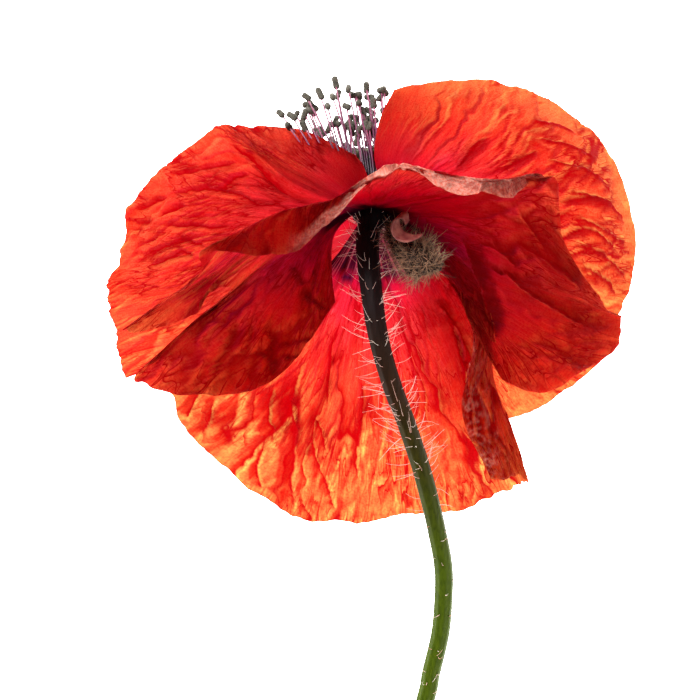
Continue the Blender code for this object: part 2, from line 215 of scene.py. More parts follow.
def new_piece(name, points, faces, surface, layers=None, uv=None):
    """An object of these points, in mm from the receptacle, and these arrays of faces.

    Each array holds faces of one size. `layers` names one value per point,
    and `uv` holds one pair per point.
    """
    corners = np.concatenate([part.ravel() for part in faces])
    sizes = np.concatenate([np.full(len(part), part.shape[1]) for part in faces])
    mesh = bpy.data.meshes.new(name)
    mesh.vertices.add(len(points))
    mesh.vertices.foreach_set("co", ((points + HEAD) * MM).ravel())
    mesh.loops.add(len(corners))
    mesh.loops.foreach_set("vertex_index", corners)
    mesh.polygons.add(len(sizes))
    mesh.polygons.foreach_set("loop_start", np.cumsum(sizes) - sizes)
    mesh.update(calc_edges=True)
    mesh.shade_smooth()
    for layer, values in (layers or {}).items():
        given = np.ravel(values).astype(np.float32)
        mesh.attributes.new(layer, "FLOAT", "POINT").data.foreach_set("value", given)
    if uv is not None:
        mesh.uv_layers.new(name="UVMap").data.foreach_set("uv", uv.reshape(-1, 2)[corners].ravel())
    mesh.materials.append(surface)
    made = bpy.data.objects.new(name, mesh)
    bpy.context.scene.collection.objects.link(made)
    return made


def grid_mesh(name, grid, surface, wall, layers=None, uv=None):
    """A sheet over a grid of points, given a wall, named values per point and a UV map."""
    rows, columns = grid.shape[:2]
    index = np.arange(rows * columns).reshape(rows, columns)
    corners = [index[:-1, :-1], index[1:, :-1], index[1:, 1:], index[:-1, 1:]]
    layers = {layer: np.broadcast_to(values, (rows, columns)) for layer, values in (layers or {}).items()}
    made = new_piece(name, grid.reshape(-1, 3), [np.stack(corners, -1).reshape(-1, 4)], surface, layers, uv)
    shell = made.modifiers.new("wall", "SOLIDIFY")
    shell.thickness = wall * MM
    shell.offset = 0.0
    return made


def ramp(share, first, last):
    """0 before first, 1 after last, and an even rise between them."""
    return np.clip((share - first) / (last - first), 0, 1)


def petal(
    name, ribs, angles, along, counts, span, sizes, laid, slant, flush, seed,
    ruffle=0.1, depth=((0, 0.0),), calm=None, margin=None, blotch=0.0,
):
    """A crumpled petal through its ribs, which run from the claw to the rim.

    The smooth sheet is a Catmull-Rom surface through the ribs. It is pushed
    along its normals by the laid folds, by several sizes of wavy fold, each
    long in the ribs' direction and short across it, and by a fine crepe.
    What leans towards LIT_FACET_SIDE gets painted light, and what leans away painted shade.

    `angles` and `along` place the claws round and along the flower's axis.
    `counts` is the grid's points along the rim and along a rib, and `span`
    the rim's length in mm. `sizes` holds each fold size's pitch across, pitch
    along, height and strength of painted shade, and `laid` the folds laid in
    plan, each painted with shade on one side and a highlight on the other.
    `ruffle` is how far the rim waves and `slant` how far the folds lean near
    it. `flush` is the tone at the claw and at the rim, and `depth` how
    far painted shade deepens the red, as pairs of a rib and a value. `calm` is
    the span of ribs over which the folds grow from none to full. `margin` is
    the span of ribs whose outer edge is turned over and patchily painted with
    a pale sheen, the share of their length where it starts, and how much of
    that painted sheen lies over it all. `blotch` is the strength of the claw's
    near-black blotch, and `seed` picks the noise.
    """
    across, outwards = counts
    count = len(ribs)
    claws = around_axis(np.linspace(*angles, count), np.full(count, CLAW_RADIUS), np.full(count, along))
    cage = np.concatenate([claws[:, None], np.array(ribs, float)], axis=1)
    u = np.linspace(0, 1, across)
    v = np.linspace(0, 1, outwards)
    columns = np.swapaxes(through(cage, u * (count - 1)), 0, 1)
    # The rim is nibbled: each rib stops a little short or long, by noise along the rim.
    rim_run = u * span
    nibble = waves(rim_run / 2.6, u * 0 + 0.5, seed) + 0.5 * waves(rim_run / 0.9, u * 0 + 3.5, seed + 1)
    nibble = nibble + 4 * ruffle * waves(rim_run / 4.0, u * 0 + 6.5, seed + 50)
    reach = v[None, :] * (1.012 + 0.016 * nibble[:, None]) * (cage.shape[1] - 1)
    low = np.clip(reach.astype(int), 0, cage.shape[1] - 2)
    ends = np.concatenate([2 * columns[:1] - columns[1:2], columns, 2 * columns[-1:] - columns[-2:-1]])
    who = np.arange(across)[:, None]
    sheet = spline(*[ends[low + point, who] for point in range(4)], (reach - low)[:, :, None])
    normal = normals_of(sheet)
    steps = np.linalg.norm(np.diff(sheet, axis=1), axis=2)
    length = np.concatenate([np.zeros((across, 1)), np.cumsum(steps, axis=1)], axis=1)
    whole = length[:, -1:]
    outward = length / whole
    level = length * 0
    width = np.linalg.norm(np.gradient(sheet, axis=0), axis=2) * across / span
    side = np.broadcast_to(rim_run[:, None], length.shape)
    lean = side + slant * np.clip(length - LEAN_START, 0, None)
    drift = 1.1 * waves(side / 5.5, length / 5.0, seed + 2) + 0.5 * waves(side / 2.2, length / 1.7, seed + 3)
    patch = np.clip(0.78 + 1.5 * waves(side / 8, length / 7, seed + 4), 0.15, 1)
    rib = u[:, None] * (count - 1)
    stir = 0.12 + 0.88 * ramp(rib, *calm) if calm else np.ones((across, 1))
    room = np.clip(width * 1.1, 0, 1) * ramp(length, 3.0, 11.0)
    crepe = 0.045 * waves(lean / 0.9, length / 2.6, seed + 70)
    crepe = crepe + 0.055 * waves(side / 3.2, length / 1.3, seed + 71)
    height = (0.012 * waves(side / 0.5, length / 0.9, seed + 8) + crepe * stir) * room
    painted_shade = np.zeros_like(length)
    lit = np.zeros_like(length)
    for order, (pitch, run, tall, strength) in enumerate(sizes):
        crossing = 0.2 if order % 2 else -0.1
        at = (lean + crossing * length + 0.36 * pitch * drift) / pitch
        noise = waves(at, length / run, seed + 5 + order)
        noise = noise + 0.3 * waves(2.6 * at, 2.6 * length / run, seed + 15 + order)
        gate = np.clip(0.8 + 1.8 * waves(side / (3 * pitch), length / (1.4 * run), seed + 25 + order), 0, 1)
        if order:
            gate = gate * patch * stir
        # Each fold is steep on one side, with painted shade at its foot and a painted highlight along the
        # other.
        height = height + room * tall * gate * fold(noise, 0.12, 0.7)
        shade = 1.3 * fold(noise, 0.04, 0.22) ** 1.3 + 0.2 * fold(noise, 0.03, 0.7)
        painted_shade = 1 - (1 - painted_shade) * (1 - np.clip(strength * gate * shade, 0, 1))
        lit = np.maximum(lit, gate * fold(-noise, 0.03, 0.3))
    for order, (soft, deep, line) in enumerate(laid):
        place, strength = laid_fold(sheet, line, seed + 60 + order)
        height = height + deep * strength * fold(place, 0.25, soft + 0.4) * np.clip(width * 1.4, 0, 1)
        # Painted shade along one side of each laid fold, and a painted highlight along the other.
        shade = 1.1 * fold(place, 0.12, 0.4) + 0.8 * fold(place, 0.06, 1.3 * soft)
        painted_shade = 1 - (1 - painted_shade) * (1 - np.clip(strength * shade, 0, 1))
        lit = lit * (1 - strength * fold(place, 0.1, soft))
        lit = np.maximum(lit, 0.8 * strength * fold(-place, 0.02, 0.6))
    rim = ramp(outward, 0.80, 1.0)
    height = height + ruffle * rim * (waves(side / 2.4, level + 0.5, seed + 30) * 1.6)
    grid = sheet + normal * height[:, :, None]
    # Painted light on facets that lean towards LIT_FACET_SIDE and painted shade on those that lean away, as
    # if lit from that side; the lit ones also take a more orange tone in reach.
    tilt = (normals_of(grid) - normal) @ LIT_FACET_SIDE * normal[:, :, 2]
    facet_lighting = np.clip(FACET_SHARE * tilt, -1, 1) * np.clip(width * 1.2, 0, 1) * ramp(length, 3.0, 9.0)
    painted_shade = 1 - (1 - painted_shade) * (1 - 0.75 * np.clip(-facet_lighting, 0, 1))
    lit = np.maximum(lit, np.clip(facet_lighting, 0, 1))
    grid[:, :, 2] = np.maximum(grid[:, :, 2], TABLE_LEVEL + PETAL_WALL / 2 + 0.02)
    # The turned-over margin: a ragged edge with patches of painted sheen, pale pink painted highlights, that
    # grows and fades over a third of its ribs.
    first, last, start, share = margin or (0, 0, 1, 0)
    third = 0.35 * (last - first)
    turned = ramp(rib, first - 0.3, first + third) * (1 - ramp(rib, last - third, last + 0.4)) * bool(margin)
    ragged = start + 0.05 * waves(side / 3.0, level + 7.5, seed + 40)
    sheen_patches = fold(waves(side / 1.5, length / 0.8, seed + 41), 0.15, 0.30)
    sheen_patches = sheen_patches + 0.5 * waves(side / 4.0, length / 2.0, seed + 42)
    edge = ramp(outward, ragged - 0.02, ragged + 0.02) * turned
    share_out = length / np.maximum(whole, SHORTEST_WHOLE)
    layers = {
        "reach": flush[0] + share_out * (flush[1] - flush[0]) + 0.20 * facet_lighting * ramp(share_out, 0.35, 0.60),
        "from_claw": length / CLAW_REACH,
        # The painted shade of the folds and facets, then their painted highlights.
        "crease_shade": np.clip(painted_shade, 0, 1) * ramp(length, 2.0, 8.0),
        "lit": np.clip(lit, 0, 1) * np.clip(room * 1.6, 0, 1),
        "crush": np.clip(0.25 + 0.75 * patch, 0, 1) * ramp(length, 2.0, 11.0) * (0.35 + 0.65 * stir),
        # The margin's painted sheen.
        "pale": np.clip(edge * (share + 0.7 * sheen_patches), 0, 1),
        # Painted shade that deepens the red, by rib, fading towards the rim.
        "depth": np.interp(rib, *np.transpose(depth)) * (1 - 0.50 * ramp(outward, 0.50, 0.95)),
        "blotch": np.full_like(length, blotch),
    }
    centimetres = np.stack([side, length], axis=-1) / 10
    return grid_mesh(name, grid, petal_skin, PETAL_WALL, layers, centimetres)


def new_material(name):
    """A material, its node tree and its skin, the Principled shader it starts with."""
    made = bpy.data.materials.new(name)
    made.use_nodes = True
    return made, made.node_tree, made.node_tree.nodes["Principled BSDF"]


def give(tree, made, **inputs):
    """Feed a node's inputs, by name or as in_3 by number: each value is a socket to link or a plain value."""
    for key, value in inputs.items():
        key = key.removeprefix("in_").replace("_", " ")
        socket = made.inputs[int(key) if key.isdigit() else key]
        if isinstance(value, bpy.types.NodeSocket):
            tree.links.new(value, socket)
        else:
            socket.default_value = value


def node(tree, kind, **settings):
    """A shader node of this kind, set in rows of ten: in_ marks its inputs, the rest are its options."""
    made = tree.nodes.new(kind)
    made.location = (200 * (len(tree.nodes) % 10), -300 * (len(tree.nodes) // 10))
    for key, value in settings.items():
        if key.startswith("in_"):
            give(tree, made, **{key: value})
        else:
            setattr(made, key, value)
    return made


def tone_ramp(tree, value, stops):
    """The colour of a Color Ramp at the value, from stops that are each a place from 0 to 1 and a colour."""
    made = node(tree, "ShaderNodeValToRGB", in_Fac=value)
    while len(made.color_ramp.elements) < len(stops):
        made.color_ramp.elements.new(0.5)
    for element, (at, tone) in zip(made.color_ramp.elements, stops):
        element.position = at
        element.color = (*tone, 1.0)
    return made.outputs["Color"]


def tint(tree, blend, share, under, over):
    """The colour of a Mix node: share, under and over are each a socket to link or a plain value."""
    mix = node(tree, "ShaderNodeMix", data_type="RGBA", blend_type=blend)
    give(tree, mix, in_0=share, in_6=under, in_7=over)
    return mix.outputs[2]


def arithmetic(tree, operation, *values, clamp=False):
    """The value of a Math node: each value is a socket to link or a plain number."""
    made = node(tree, "ShaderNodeMath", operation=operation, use_clamp=clamp)
    give(tree, made, **{f"in_{slot}": value for slot, value in enumerate(values)})
    return made.outputs["Value"]


def kept(tree, name):
    """The value that the mesh keeps at each point under this name."""
    return node(tree, "ShaderNodeAttribute", attribute_name=name).outputs["Fac"]


def clouds(tree, at, scale, detail, roughness):
    """Fractal noise at these coordinates."""
    made = node(tree, "ShaderNodeTexNoise", in_Vector=at)
    give(tree, made, Scale=scale, Detail=detail, Roughness=roughness)
    return made.outputs["Fac"]


def stretched(tree, at, scales):
    """These coordinates, each times its own scale."""
    return node(tree, "ShaderNodeMapping", in_Vector=at, in_Scale=scales).outputs["Vector"]


def carried(tree, value, low, high, top=1.0):
    """The value from low to high, carried evenly onto 0 to top and kept within it."""
    made = node(tree, "ShaderNodeMapRange", in_0=value, in_1=low, in_2=high, in_3=0.0, in_4=top)
    return made.outputs["Result"]


def relief(tree, height, strength, rise):
    """The normal of a bump by this height, of this strength and this many mm high."""
    made = node(tree, "ShaderNodeBump", in_Strength=strength, in_Distance=rise * MM, in_Height=height)
    return made.outputs["Normal"]


def let_through(tree, skin, tone, share):
    """The whole surface: this share of the light comes through it, in this tone, the rest off its skin."""
    behind = node(tree, "ShaderNodeBsdfTranslucent", in_Color=tone)
    both = node(tree, "ShaderNodeMixShader", in_0=share)
    give(tree, both, in_1=skin.outputs["BSDF"], in_2=behind.outputs["BSDF"])
    give(tree, tree.nodes["Material Output"], Surface=both.outputs["Shader"])


def fold_lines_group():
    """A node group: masks of crisp fold lines, for painted shade and painted highlights, where a stretched
    noise crosses its middle.

    With t the noise's height over its middle, divided by the width, Fold is
    the lesser of 1 - t and 1 + 5 t: a hard edge on one side of each line and
    a soft one on the other. Lit is the same on the line's other side.
    """
    group = bpy.data.node_groups.new("fold_lines", "ShaderNodeTree")
    sockets = {"Place": None, "Across": 9.0, "Along": 2.2, "Width": 0.1, "Drift": 0.4, "Seed": 0.0}
    for name, value in sockets.items():
        kind = "NodeSocketVector" if value is None else "NodeSocketFloat"
        socket = group.interface.new_socket(name=name, in_out="INPUT", socket_type=kind)
        if value is not None:
            socket.default_value = value
    for name in ("Fold", "Lit"):
        group.interface.new_socket(name=name, in_out="OUTPUT", socket_type="NodeSocketFloat")
    given = node(group, "NodeGroupInput")
    result = node(group, "NodeGroupOutput")
    scales = node(group, "ShaderNodeCombineXYZ")
    give(group, scales, X=given.outputs["Across"], Y=given.outputs["Along"])
    seeds = node(group, "ShaderNodeCombineXYZ", in_Z=given.outputs["Seed"])
    scaled = node(group, "ShaderNodeVectorMath", operation="MULTIPLY", in_0=given.outputs["Place"])
    give(group, scaled, in_1=scales.outputs["Vector"])
    moved = node(group, "ShaderNodeVectorMath", operation="ADD", in_0=scaled.outputs["Vector"])
    give(group, moved, in_1=seeds.outputs["Vector"])
    noise = node(group, "ShaderNodeTexNoise", in_Vector=moved.outputs["Vector"])
    give(group, noise, Scale=1.0, Detail=1.5, Roughness=0.5, Distortion=given.outputs["Drift"])
    height = arithmetic(group, "SUBTRACT", noise.outputs["Fac"], 0.5)
    t = arithmetic(group, "DIVIDE", height, given.outputs["Width"])
    for name, way in (("Fold", 1.0), ("Lit", -1.0)):
        soft = arithmetic(group, "MULTIPLY_ADD", t, -way, 1.0)
        hard = arithmetic(group, "MULTIPLY_ADD", t, 5.0 * way, 1.0)
        lesser = arithmetic(group, "MINIMUM", soft, hard, clamp=True)
        give(group, result, **{name: lesser})
    return group


# The petals' tissue: claw to rim from purple-black through crimson to orange,
# with fine veins along the ribs, painted shade in the creases with painted
# highlights beside them, and a papery grain.
PETAL_TONES = [
    (0.00, (0.006, 0.001, 0.008)),
    (0.09, (0.035, 0.001, 0.010)),
    (0.18, (0.640, 0.003, 0.060)),
    (0.32, (0.980, 0.024, 0.046)),
    (0.55, (1.000, 0.060, 0.030)),
    (0.80, (1.000, 0.120, 0.034)),
    (1.00, (1.000, 0.230, 0.055)),
]
# What each effect multiplies the tissue's colour by, or turns it to.
# Painted shade that deepens the red where the hood stands over the receptacle.
DEEP_SHADE = (0.45, 0.012, 0.14, 1.0)
CLAW_CRIMSON = (0.05, 0.002, 0.015, 1.0)
CLAW_LILAC = (0.75, 0.13, 0.20, 1.0)
BLOTCH_BLACK = (0.050, 0.004, 0.035, 1.0)
VEIN_SHADE = (0.90, 0.34, 0.50, 1.0)
GRAIN_SHADE = (0.86, 0.34, 0.48, 1.0)
# Painted shade in the folds, and the painted highlights beside them.
FOLD_SHADE = (0.40, 0.010, 0.06, 1.0)
LIT_GAIN = (1.0, 3.0, 2.6, 1.0)
LIT_SHARE = 0.95
SKIN_SHADE = (0.30, 0.07, 0.10, 1.0)
# The painted sheen of the turned-over margins: pale rose highlights over red.
SHEEN_ROSE = (1.0, 0.46, 0.36, 1.0)
SHEEN_RED = (0.95, 0.16, 0.09, 1.0)
# Veins and claw streaks per centimetre, across the ribs and along them, and how far the tone wanders.
VEIN_STRETCH, STREAK_STRETCH = (38.0, 1.6, 1.0), (11.0, 0.7, 1.0)
TONE_WANDER = 0.26
# How much of the light comes through the tissue, and how much less where the margin's sheen is painted.
THINNESS, SHEEN_LOSS = 0.66, 0.32
BLACK, WHITE = (0.0, 0.0, 0.0), (1.0, 1.0, 1.0)
# Where the streaked claw and the blotch around it lie, as shares of CLAW_REACH.
STREAK_ZONE = [(0.0, BLACK), (0.16, WHITE), (0.42, WHITE), (0.50, BLACK)]
SPOT_ZONE = [(0.0, BLACK), (0.42, BLACK), (0.50, WHITE), (0.60, BLACK)]
# Folds too fine for the mesh, drawn as painted shade with painted highlights beside it and a bump: across,
# along, width, drift, seed and strength.
FINE_FOLDS = [
    (5.2, 0.8, 0.05, 0.3, 3.0, 1.15),
    (9.5, 1.4, 0.07, 0.25, 8.0, 1.1),
    (20.0, 3.0, 0.10, 0.2, 12.0, 0.8),
]
fold_lines = fold_lines_group()
petal_skin, tree, skin = new_material("petal_skin")
uv = node(tree, "ShaderNodeUVMap", uv_map="UVMap").outputs["UV"]
from_claw = kept(tree, "from_claw")
blotch = kept(tree, "blotch")
crush = kept(tree, "crush")
pale = kept(tree, "pale")
veins = clouds(tree, stretched(tree, uv, VEIN_STRETCH), 1.0, 3.0, 0.65)
blotches = clouds(tree, uv, 1.6, 4.0, 0.55)
grain = clouds(tree, uv, 34.0, 3.0, 0.6)
shifted = arithmetic(tree, "MULTIPLY_ADD", blotches, TONE_WANDER, kept(tree, "reach"))
shifted = arithmetic(tree, "SUBTRACT", shifted, TONE_WANDER / 2)
tones = tone_ramp(tree, shifted, PETAL_TONES)
depth_shaded = tint(tree, "MULTIPLY", kept(tree, "depth"), tones, DEEP_SHADE)
# The claw: near black, streaked with lilac, inside a ring of purple-black spots.
claw_veins = clouds(tree, stretched(tree, uv, STREAK_STRETCH), 1.0, 2.0, 0.5)
lilac_share = carried(tree, claw_veins, 0.50, 0.58)
streaks = tint(tree, "MIX", lilac_share, CLAW_CRIMSON, CLAW_LILAC)
streak_zone = tone_ramp(tree, from_claw, STREAK_ZONE)
streak_share = arithmetic(tree, "MULTIPLY", streak_zone, blotch)
hearted = tint(tree, "MIX", streak_share, depth_shaded, streaks)
spot_zone = tone_ramp(tree, from_claw, SPOT_ZONE)
spot_share = arithmetic(tree, "MULTIPLY", spot_zone, blotch)
spot_noise = carried(tree, blotches, 0.45, 0.60)
spot_share = arithmetic(tree, "MULTIPLY", spot_share, spot_noise)
spotted = tint(tree, "MIX", spot_share, hearted, BLOTCH_BLACK)
# Veins and grain.
veined = tint(tree, "MULTIPLY", carried(tree, veins, 0.35, 0.70, 0.7), spotted, VEIN_SHADE)
grain_depth = carried(tree, grain, 0.42, 0.64, 0.9)
grained = tint(tree, "MULTIPLY", grain_depth, veined, GRAIN_SHADE)
# The fine folds, painted shade and painted highlights added to the mesh's own, strongest where the tissue is
# most crushed.
dark_folds = kept(tree, "crease_shade")
lit_folds = kept(tree, "lit")
fine_folds = 0.0
for across, along, width, drift, seed, strength in FINE_FOLDS:
    lines = node(tree, "ShaderNodeGroup", node_tree=fold_lines, in_Place=uv)
    give(tree, lines, Across=across, Along=along, Width=width, Drift=drift, Seed=seed)
    gate = arithmetic(tree, "MULTIPLY", crush, strength)
    dark_one = arithmetic(tree, "MULTIPLY", lines.outputs["Fold"], gate)
    lit_one = arithmetic(tree, "MULTIPLY", lines.outputs["Lit"], gate)
    dark_folds = arithmetic(tree, "MAXIMUM", dark_folds, dark_one, clamp=True)
    lit_folds = arithmetic(tree, "MAXIMUM", lit_folds, lit_one, clamp=True)
    fine_folds = arithmetic(tree, "MAXIMUM", fine_folds, dark_one)
# Painted highlights beside the folds, then painted shade in them.
lighter = tint(tree, "MULTIPLY", 1.0, grained, LIT_GAIN)
lit_share = arithmetic(tree, "MULTIPLY", lit_folds, LIT_SHARE)
brightened = tint(tree, "MIX", lit_share, grained, lighter)
folded = tint(tree, "MULTIPLY", dark_folds, brightened, FOLD_SHADE)
dulled = tint(tree, "MULTIPLY", 1.0, folded, SKIN_SHADE)
# Painted sheen on the turned-over margins, mixed in by pale.
sheen_tone = tint(tree, "MIX", grain_depth, SHEEN_ROSE, SHEEN_RED)
wrinkles = arithmetic(tree, "MULTIPLY_ADD", veins, 0.4, fine_folds)
give(tree, skin, Base_Color=tint(tree, "MIX", pale, dulled, sheen_tone))
give(tree, skin, Roughness=0.45, Specular_IOR_Level=0.01, Normal=relief(tree, wrinkles, 0.5, 0.2))
through_tone = node(tree, "ShaderNodeGamma", in_Color=folded, in_Gamma=0.5)
thinness = arithmetic(tree, "MULTIPLY_ADD", pale, -SHEEN_LOSS, THINNESS)
let_through(tree, skin, through_tone.outputs["Color"], thinness)

BACK_RIBS = [
    [(-5.3, -6.4, -4.5), (-13.1, -13.3, -9.0), (-20.3, -18.5, -12.5), (-26.4, -22.8, -14.2)],
    [(-4.7, -7.4, -5.5), (-10.5, -17.2, -11.0), (-17.0, -24.3, -14.0), (-23.5, -29.2, -15.6)],
    [(-3.4, -9.4, -8.0), (-7.3, -20.4, -13.0), (-11.2, -28.2, -15.0), (-17.0, -34.7, -15.9)],
    [(-2.1, -10.7, -8.5), (-4.7, -22.4, -13.5), (-7.3, -30.8, -15.2), (-9.9, -39.6, -15.9)],
    [(-0.7, -11.1, -9.0), (-1.4, -23.0, -14.0), (-1.8, -31.5, -15.5), (-2.7, -40.2, -15.9)],
    [(1.2, -11.1, -8.8), (2.5, -22.4, -13.5), (3.8, -30.8, -15.2), (4.4, -39.1, -15.9)],
    [(2.7, -11.1, -7.0), (6.4, -21.1, -11.0), (9.0, -29.5, -13.5), (11.6, -38.4, -15.2)],
    [(5.6, -9.6, -5.5), (10.6, -18.4, -8.5), (13.5, -26.9, -11.0), (17.8, -35.8, -13.4)],
    [(8.8, -6.6, -4.6), (14.2, -13.6, -7.0), (16.0, -22.7, -9.5), (20.2, -34.6, -12.5)],
    [(9.4, -6.2, -4.0), (14.6, -13.2, -5.5), (15.6, -22.2, -7.5), (19.6, -33.9, -11.2)],
    [(8.6, -6.8, -3.6), (13.2, -15.6, -5.0), (11.8, -25.6, -7.0), (15.5, -34.1, -10.5)],
]
BACK_FOLDS = [
    # The first is a wide painted shade beside the rolled margin.
    (6.0, 0.5, [(13.4, -29.5), (12.7, -23.3), (11.3, -16.5), (9.0, -10.7)]),
    (1.6, 0.7, [(-5.6, -25.4), (-5.6, -22.8), (-5.4, -20.5), (-4.8, -14.2)]),
    (1.6, 0.9, [(-10.3, -39.5), (-10.1, -38.0), (-10.5, -35.2), (-10.1, -33.1), (-10.1, -30.6),
        (-9.8, -28.5), (-10.3, -25.8), (-9.9, -23.5), (-9.4, -21.6), (-8.6, -18.9)]),
    (1.4, 0.7, [(-13.0, -30.8), (-12.8, -28.5), (-13.4, -27.5), (-13.2, -24.7), (-12.6, -22.6)]),
    (0.9, 0.6, [(-14.3, -36.3), (-14.7, -35.3), (-14.9, -32.9), (-14.1, -31.0), (-14.0, -29.2)]),
    (1.6, 0.7, [(-5.8, -31.9), (-6.1, -29.6), (-6.9, -27.5), (-7.9, -26.6)]),
    (0.6, 0.6, [(-4.8, -39.9), (-5.0, -38.0), (-5.9, -35.2), (-7.1, -32.3), (-7.5, -30.4), (-7.7, -29.1)]),
    (0.4, 0.5, [(-1.4, -35.9), (-1.8, -33.8), (-1.8, -31.3), (-1.4, -28.5), (-1.0, -25.4),
        (-1.0, -23.5), (-0.6, -22.0)]),
    (0.8, 0.6, [(-24.4, -27.1), (-23.7, -25.8), (-22.5, -23.5)]),
    (0.7, 0.6, [(-22.4, -29.2), (-21.4, -27.5), (-20.6, -24.3)]),
    (1.0, 0.8, [(8.6, -11.6), (10.4, -13.9), (11.9, -16.4), (12.6, -19.6)]),
]
petal_back = petal(
    "petal_back",
    BACK_RIBS,
    angles=(232, 128),
    along=-0.3,
    counts=(320, 148),
    span=62.0,
    sizes=((4.6, 30, 0.6, 1.0), (2.0, 14, 0.22, 0.8), (1.0, 7, 0.08, 0.5)),
    laid=BACK_FOLDS,
    slant=0.0,
    flush=(0.0, 1.0),
    margin=(9.3, 11.0, 0.40, -0.25),
    blotch=1.0,
    seed=3,
)
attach(petal_back, "root")
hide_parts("petal_back")


# ----------------------------------------
# Right petal. An inner petal, a broad smooth dome that comes down to the
# table all along its outer rim, grown from the claw like the others.
# ----------------------------------------
RIGHT_RIBS = [
    [(1.0, 4.0, 1.4), (0.4, 7.9, 1.8), (1.2, 12.3, 0.5), (2.9, 15.9, -2.5)],
    [(2.7, 4.3, 1.8), (4.4, 8.8, 2.0), (7.0, 13.4, -0.2), (9.0, 17.2, -5.5)],
    [(5.1, 4.0, 1.6), (9.6, 8.2, 1.6), (14.2, 13.1, -2.5), (17.4, 16.8, -9.5)],
    [(6.4, 3.0, 1.2), (14.2, 6.2, 0.8), (21.3, 10.8, -4.5), (25.9, 13.4, -13.0)],
    [(7.7, 1.0, 0.5), (16.8, 2.3, 0.0), (26.5, 4.9, -5.5), (32.1, 6.2, -14.8)],
    [(7.9, -1.2, 0.0), (17.4, -2.2, -1.5), (28.5, -3.2, -7.0), (34.7, -3.9, -15.9)],
    [(7.4, -3.5, -1.5), (16.8, -7.4, -5.0), (26.5, -11.3, -10.0), (32.5, -12.9, -15.9)],
    [(6.4, -5.1, -3.0), (14.2, -11.3, -9.0), (23.3, -17.2, -13.0), (29.8, -19.1, -15.9)],
    [(5.3, -6.4, -5.0), (11.6, -13.9, -11.5), (18.7, -20.4, -14.5), (23.0, -24.7, -15.9)],
    [(4.3, -7.2, -6.5), (9.0, -14.6, -12.5), (13.5, -21.7, -15.0), (16.8, -27.2, -15.9)],
]
RIGHT_FOLDS = [
    (0.9, 0.6, [(15.1, 9.8), (12.9, 8.3), (11.8, 7.0), (10.6, 5.5)]),
    (0.8, 0.5, [(18.9, 7.6), (17.9, 6.3), (16.7, 5.5)]),
    (0.7, 0.5, [(21.5, 8.0), (19.5, 7.1), (17.7, 6.0)]),
    (0.6, 0.5, [(31.6, 1.2), (29.1, 2.1), (26.0, 1.9), (24.4, 1.2)]),
    (0.6, 0.5, [(32.2, -5.2), (30.4, -3.4), (28.7, -2.1), (26.7, -1.9), (24.6, -2.8)]),
    (0.9, 0.5, [(33.4, -1.2), (31.3, 0.9), (28.5, 2.2), (25.4, 3.0)]),
    (0.8, 0.4, [(33.7, -4.3), (31.3, -2.7), (28.7, -1.2), (25.9, -0.3)]),
    (0.9, 0.5, [(33.3, -8.2), (31.3, -6.1), (29.0, -4.5), (26.1, -3.5)]),
    (0.8, 0.4, [(32.4, -10.9), (31.1, -9.0), (29.2, -7.4), (26.9, -6.4)]),
    (0.9, 0.5, [(31.2, 3.2), (28.7, 5.1), (25.9, 6.2), (22.6, 6.9)]),
    (0.8, 0.4, [(30.0, 6.4), (27.2, 8.2), (24.1, 9.2), (20.7, 9.5)]),
    (0.7, 0.4, [(26.9, 10.5), (24.1, 11.6), (20.7, 11.8)]),
    (0.7, 0.4, [(30.8, -12.1), (29.5, -10.3), (27.7, -9.2)]),
]
petal_right = petal(
    "petal_right",
    RIGHT_RIBS,
    angles=(35, 132),
    along=0.6,
    counts=(320, 148),
    span=66.0,
    sizes=((4.0, 24, 0.30, 0.4), (1.7, 11, 0.24, 1.1), (1.2, 7, 0.14, 0.9), (0.8, 5, 0.06, 0.5)),
    laid=RIGHT_FOLDS,
    slant=0.15,
    flush=(0.0, 1.06),
    calm=(0.5, 3.6),
    seed=21,
)
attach(petal_right, "root")
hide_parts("petal_right")


# ----------------------------------------
# Left petal. The inner petal opposite, domed, folded along a valley in its
# upper half, and down on the table along its outer rim.
# ----------------------------------------
LEFT_RIBS = [
    [(-0.1, 3.0, 1.8), (-0.4, 4.5, 2.2), (-1.0, 6.1, 1.8), (-2.0, 7.5, 0.8)],
    [(-2.5, 2.7, 1.6), (-4.7, 4.9, 2.0), (-6.9, 7.5, 1.6), (-8.6, 10.7, -2.6)],
    [(-4.0, 2.2, 1.3), (-9.2, 4.9, 1.5), (-14.2, 8.2, -0.4), (-17.3, 11.6, -7.0)],
    [(-4.7, 1.4, 0.0), (-10.3, 3.4, -1.8), (-16.4, 7.5, -4.0), (-20.7, 11.1, -11.0)],
    [(-5.3, 0.7, 1.0), (-12.5, 2.3, 1.5), (-20.3, 4.3, -4.0), (-26.8, 6.9, -14.0)],
    [(-5.6, -0.3, 0.5), (-13.8, -0.3, 1.5), (-23.5, -0.3, -4.5), (-31.6, 1.3, -15.4)],
    [(-5.6, -1.2, 0.0), (-14.4, -3.2, 1.0), (-24.8, -4.8, -5.0), (-32.9, -5.9, -15.9)],
    [(-5.3, -2.2, -1.0), (-14.2, -5.5, 0.0), (-24.8, -8.7, -6.0), (-34.5, -10.0, -15.9)],
    [(-4.9, -3.5, -2.0), (-13.4, -7.2, -1.5), (-23.5, -11.3, -7.5), (-33.9, -13.7, -15.9)],
    [(-4.5, -4.5, -5.0), (-12.5, -9.4, -9.5), (-22.2, -14.6, -14.0), (-32.9, -17.2, -15.9)],
    [(-4.0, -5.5, -7.5), (-11.2, -11.3, -13.0), (-20.3, -17.2, -15.5), (-32.0, -21.4, -15.9)],
]
